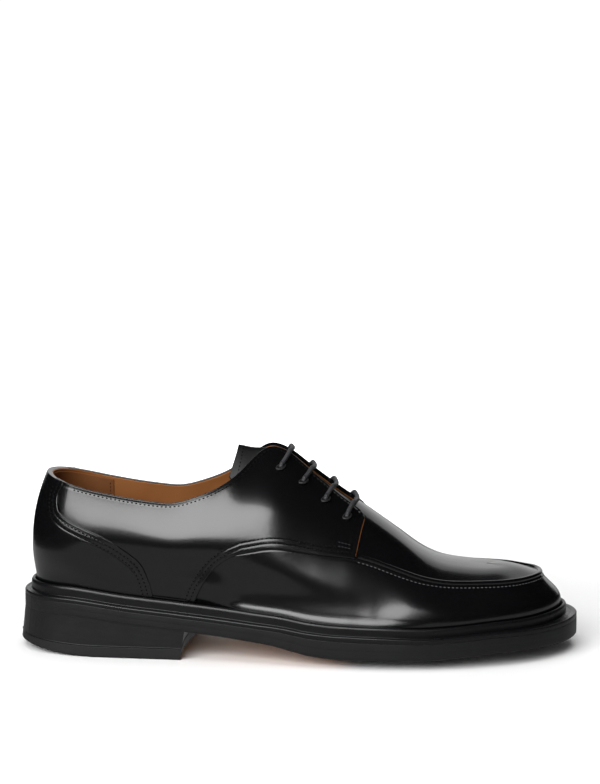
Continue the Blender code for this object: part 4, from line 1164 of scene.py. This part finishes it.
def eyelet(label, hole, outward, down, pressed, hole_shade):
    """The ring pressed into the leather, and a flat black disc in the hole that is painted shade for its inside."""
    ahead = np.array([1.0, 0.0, 0.0])
    circle = np.array([hole + (ahead * math.cos(t) + outward * math.sin(t)) * EYELET_RING
                       for t in np.linspace(0, 2 * math.pi, 32, endpoint=False)])
    tube(label + "_eyelet", circle - down * 0.12, 0.5, pressed, closed=True, sides=10)
    axes = Matrix(np.column_stack([ahead, np.cross(-down, ahead), -down]).tolist())
    body = bmesh.new()
    bmesh.ops.create_circle(body, cap_ends=True, segments=24, radius=HOLE_RADIUS * MM,
                            matrix=Matrix.Translation(to_frame(hole - down * 0.06)) @ axes.to_4x4())
    shoe_piece(label + "_hole", body, hole_shade)


def laces():
    cotton = lace_finish()
    pressed, hole_shade = eyelet_finishes()
    for name, x in LACE_AT.items():
        path = lace_crossing(x)
        ends = []
        for last_one, next_in, label in ((0, 1, "outer"), (-1, -2, "inner")):
            outward = unit(path[last_one] - path[next_in])
            down = np.cross(outward, (1.0, 0.0, 0.0))
            down *= -np.sign(down[2])
            bend = [path[last_one] + (outward * math.sin(t) + down * (1 - math.cos(t))) * EYELET_BEND
                    for t in np.linspace(0.2, math.pi / 2, 7)]
            hole = bend[-1] + down * (LACE_RADIUS + LACE_CLEAR - EYELET_BEND)
            bend += [bend[-1] + down * step for step in (1.5, 3.0, 4.2)]
            ends.append(np.array(bend))
            eyelet(f"{name}_{label}", hole, outward, down, pressed, hole_shade)
        tube(name, np.vstack([ends[0][::-1], path, ends[1]]), LACE_RADIUS, cotton, (name,))


laces()


# Storm welt
# A strip of black leather stitched round the whole shoe: a flat ledge outside, and a rounded bead that
# stands up against the upper.

def loop_band(name, marks, material, replaces=()):
    """A band round the shoe: each mark is a distance in from the sole's edge, a layer and a rise over it."""
    points = []
    for distance, depth, rise in marks:
        ring = softened(inset(distance), 2)
        points.append(np.column_stack([ring, layer_top(depth, *ring.T) + rise]))
    points = np.array(points)
    points = np.concatenate([points, points[:, :1]], axis=1)
    wide = np.concatenate([points[:, -4:-1], points, points[:, 1:4]], axis=1)
    along = np.gradient(wide, axis=1)[:, 3:-3]
    grid_piece(name, points, unit(np.cross(along, np.gradient(points, axis=0))), material, replaces)


def sole_edge_finish(name, colour=(0.006, 0.006, 0.0065), roughness=0.42):
    finish = Finish(name, colour, roughness, Specular_IOR_Level=0.35)
    finish.relief(finish.noise(700.0, 4.0, 0.6) * 0.05 + finish.noise(60.0) * 0.15)
    finish.roughness(finish.noise(90.0, 3.0) * 0.2 + (roughness - 0.1))
    return finish.material


def welt():
    flat = ledge()
    low = OUTSOLE + MIDSOLE + 2 * GAP
    top = SOLE_THICKNESS
    # From the strip's foot up its edge, over the ledge and the groove of its stitches, then round the bead.
    marks = [
        (-0.02, low, -0.15), (-0.1, low, 0.2), (-0.1, top, -0.9), (0.05, top, -0.5), (0.3, top, -0.15),
        (0.7, top, 0.0), (flat * 0.45, top, 0.0), (flat * 0.5, top, -0.25), (flat * 0.6, top, -0.25),
        (flat * 0.65, top, 0.0), (flat - 0.7, top, 0.0), (flat - 0.35, top, 0.12), (flat - 0.12, top, 0.5)]
    marks += [(flat - 0.1 + BEAD_WIDTH / 2 * (1 - math.cos(t)), top, BEAD_HEIGHT * (0.62 + 0.38 * math.sin(t)))
              for t in np.linspace(0, math.pi, 13)]
    marks += [(flat + BEAD_WIDTH, top, -GAP)]
    leather = sole_edge_finish("welt_leather", (0.004, 0.004, 0.0045), 0.3)
    loop_band("storm_welt", marks, leather, ("storm_welt",))


welt()


# Sole, heel and footbed
# Two layers of leather with a black waxed edge, a stacked heel with a rubber top piece, and the tan
# footbed inside. The solids take a finish, and a smooth coat of wax lies over their edges.

TOP_PIECE = 6.0
BREAST_AT = 90.5
BREAST_SKEW = 7.0
BREAST_HOLLOW = 3.5
BREAST_RAKE = 2.0
BREAST_MEDIAL_RAKE = 7.0
HEEL_BEVEL = 5.0
HEEL_BEVEL_LENGTH = 40.0
HEEL_CORE = (45.0, 0.0, 10.0)
WAIST_FROM, WAIST_TO = (-0.075, -0.065), (0.02, 0.035)
WAX = 0.12


def finish_node(name, material):
    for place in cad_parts[name].material_slots:
        place.material = material


def outsole_finish():
    """Black edge and tread, and a tan waist in front of the heel."""
    black = (0.006, 0.006, 0.0065)
    finish = Finish("outsole_leather", black, 0.45, Specular_IOR_Level=0.35)
    facing = finish.node("ShaderNodeSeparateXYZ", {}, finish.node("ShaderNodeTexCoord", {}, output=1), output=2)
    along = finish.node("ShaderNodeSeparateXYZ", {}, finish.place())
    waist = along.step(*WAIST_FROM) * (1 - along.step(*WAIST_TO))
    finish.colour(finish.mix(facing.step(-0.6, -0.85) * waist, black, (0.40, 0.19, 0.08)))
    finish.relief(finish.noise(700.0, 4.0, 0.6) * 0.05 + finish.noise(60.0) * 0.15)
    return finish.material


def sole_edges():
    """The waxed edge of the two layers, with the fine line of their joint."""
    top, split = OUTSOLE + MIDSOLE + GAP, OUTSOLE + GAP / 2
    loop_band("sole_edge_wax", [
        (0.6, top, 0.02), (0.05, top, -0.05), (-0.12, top, -0.3), (-0.14, split, 0.9), (-0.14, split, 0.18),
        (-0.06, split, 0), (-0.14, split, -0.18), (-0.14, 0, 1.2), (-0.05, 0, 0.45), (0.3, 0, 0.1),
        (1.2, 0, -0.08)], EDGE)


EDGE = sole_edge_finish("sole_edge")
finish_node("midsole", EDGE)
finish_node("heel_stack", EDGE)
finish_node("outsole", outsole_finish())
finish_node("heel_top_piece", sole_edge_finish("top_piece_rubber", (0.008, 0.008, 0.008), 0.6))
finish_node("insole", TAN)
sole_edges()


def heel_loop(share, out):
    """The heel's plan at a share of its height: its side round the back, and its breast."""
    flare = HEEL_FLARE * (1 - share) * np.clip(1 - RIM[:, 0] / HEEL_PIVOT_AT, 0, 1)
    ring = softened(RIM + RIM_NORMALS * (flare + out)[:, None], 2)
    ring = np.roll(ring, -ring[:, 0].argmin(), axis=0)
    parts = []
    for line, end in ((ring[:300], BREAST_AT + BREAST_RAKE * share + out),
                      (ring[::-1][:300], BREAST_AT + BREAST_SKEW + BREAST_MEDIAL_RAKE * share + out)):
        line = line[:np.argmax(line[:, 0] > end) + 1].copy()
        t = (end - line[-2, 0]) / (line[-1, 0] - line[-2, 0])
        line[-1] = line[-2] + (line[-1] - line[-2]) * t
        parts.append(even_line(line, 110))
    side = np.vstack([parts[0][::-1], parts[1][1:]])
    across = np.linspace(0, 1, 40)[:, None]
    breast = side[-1] + (side[0] - side[-1]) * across
    breast[:, 0] -= BREAST_HOLLOW * 4 * across[:, 0] * (1 - across[:, 0])
    return side, breast


def floor_face(x):
    """Height of the heel's underside, which curves up a little at the back."""
    return HEEL_BEVEL * np.clip((HEEL_BEVEL_LENGTH - x) / (HEEL_BEVEL_LENGTH + HEEL_FLARE), 0, 1) ** 1.5


def heel_shell(name, marks, material):
    """The outside of a heel layer: marks are its share of the height, how far out, and a rise in mm."""
    sheets = [[], []]
    split = TOP_PIECE / HEEL_PITCH
    for share, out, rise in marks:
        for sheet, line in zip(sheets, heel_loop(share, out)):
            x, y = line.T
            floor, joint = floor_face(x), TOP_PIECE + floor_face(x) / 2
            if share <= split:
                height = floor + (joint - floor) * (share / split)
            else:
                height = joint + (underside(x, y) - GAP - joint) * (share - split) / (1 - split)
            sheet.append(np.column_stack([line, height + rise]))
    for sheet, part in zip(sheets, ("side", "breast")):
        sheet = np.array(sheet)
        normals = unit(np.cross(np.gradient(sheet, axis=1), np.gradient(sheet, axis=0)))
        centre = len(sheet) // 2, sheet.shape[1] // 2
        normals *= np.sign(normals[centre] @ (sheet[centre] - HEEL_CORE))
        grid_piece(f"{name}_{part}", sheet, normals, material)


heel_shell("heel_stack", [
    (0.27, 0.5, 0.28), (0.27, 0.08, 0.4), (0.28, WAX, 0.55), (0.5, WAX, 0), (0.515, 0.07, 0), (0.53, WAX, 0),
    (0.74, WAX, 0), (0.755, 0.07, 0), (0.77, WAX, 0), (1.0, WAX, 0.25)], EDGE)
heel_shell("heel_top_piece", [
    (0.0, -0.6, 0.0), (0.0, 0.0, 0.12), (0.02, 0.1, 0.3), (0.1, WAX, 0), (0.25, WAX, 0), (0.262, 0.05, 0.02),
    (0.266, -0.5, 0.05)], sole_edge_finish("heel_rubber", (0.008, 0.008, 0.008), 0.55))
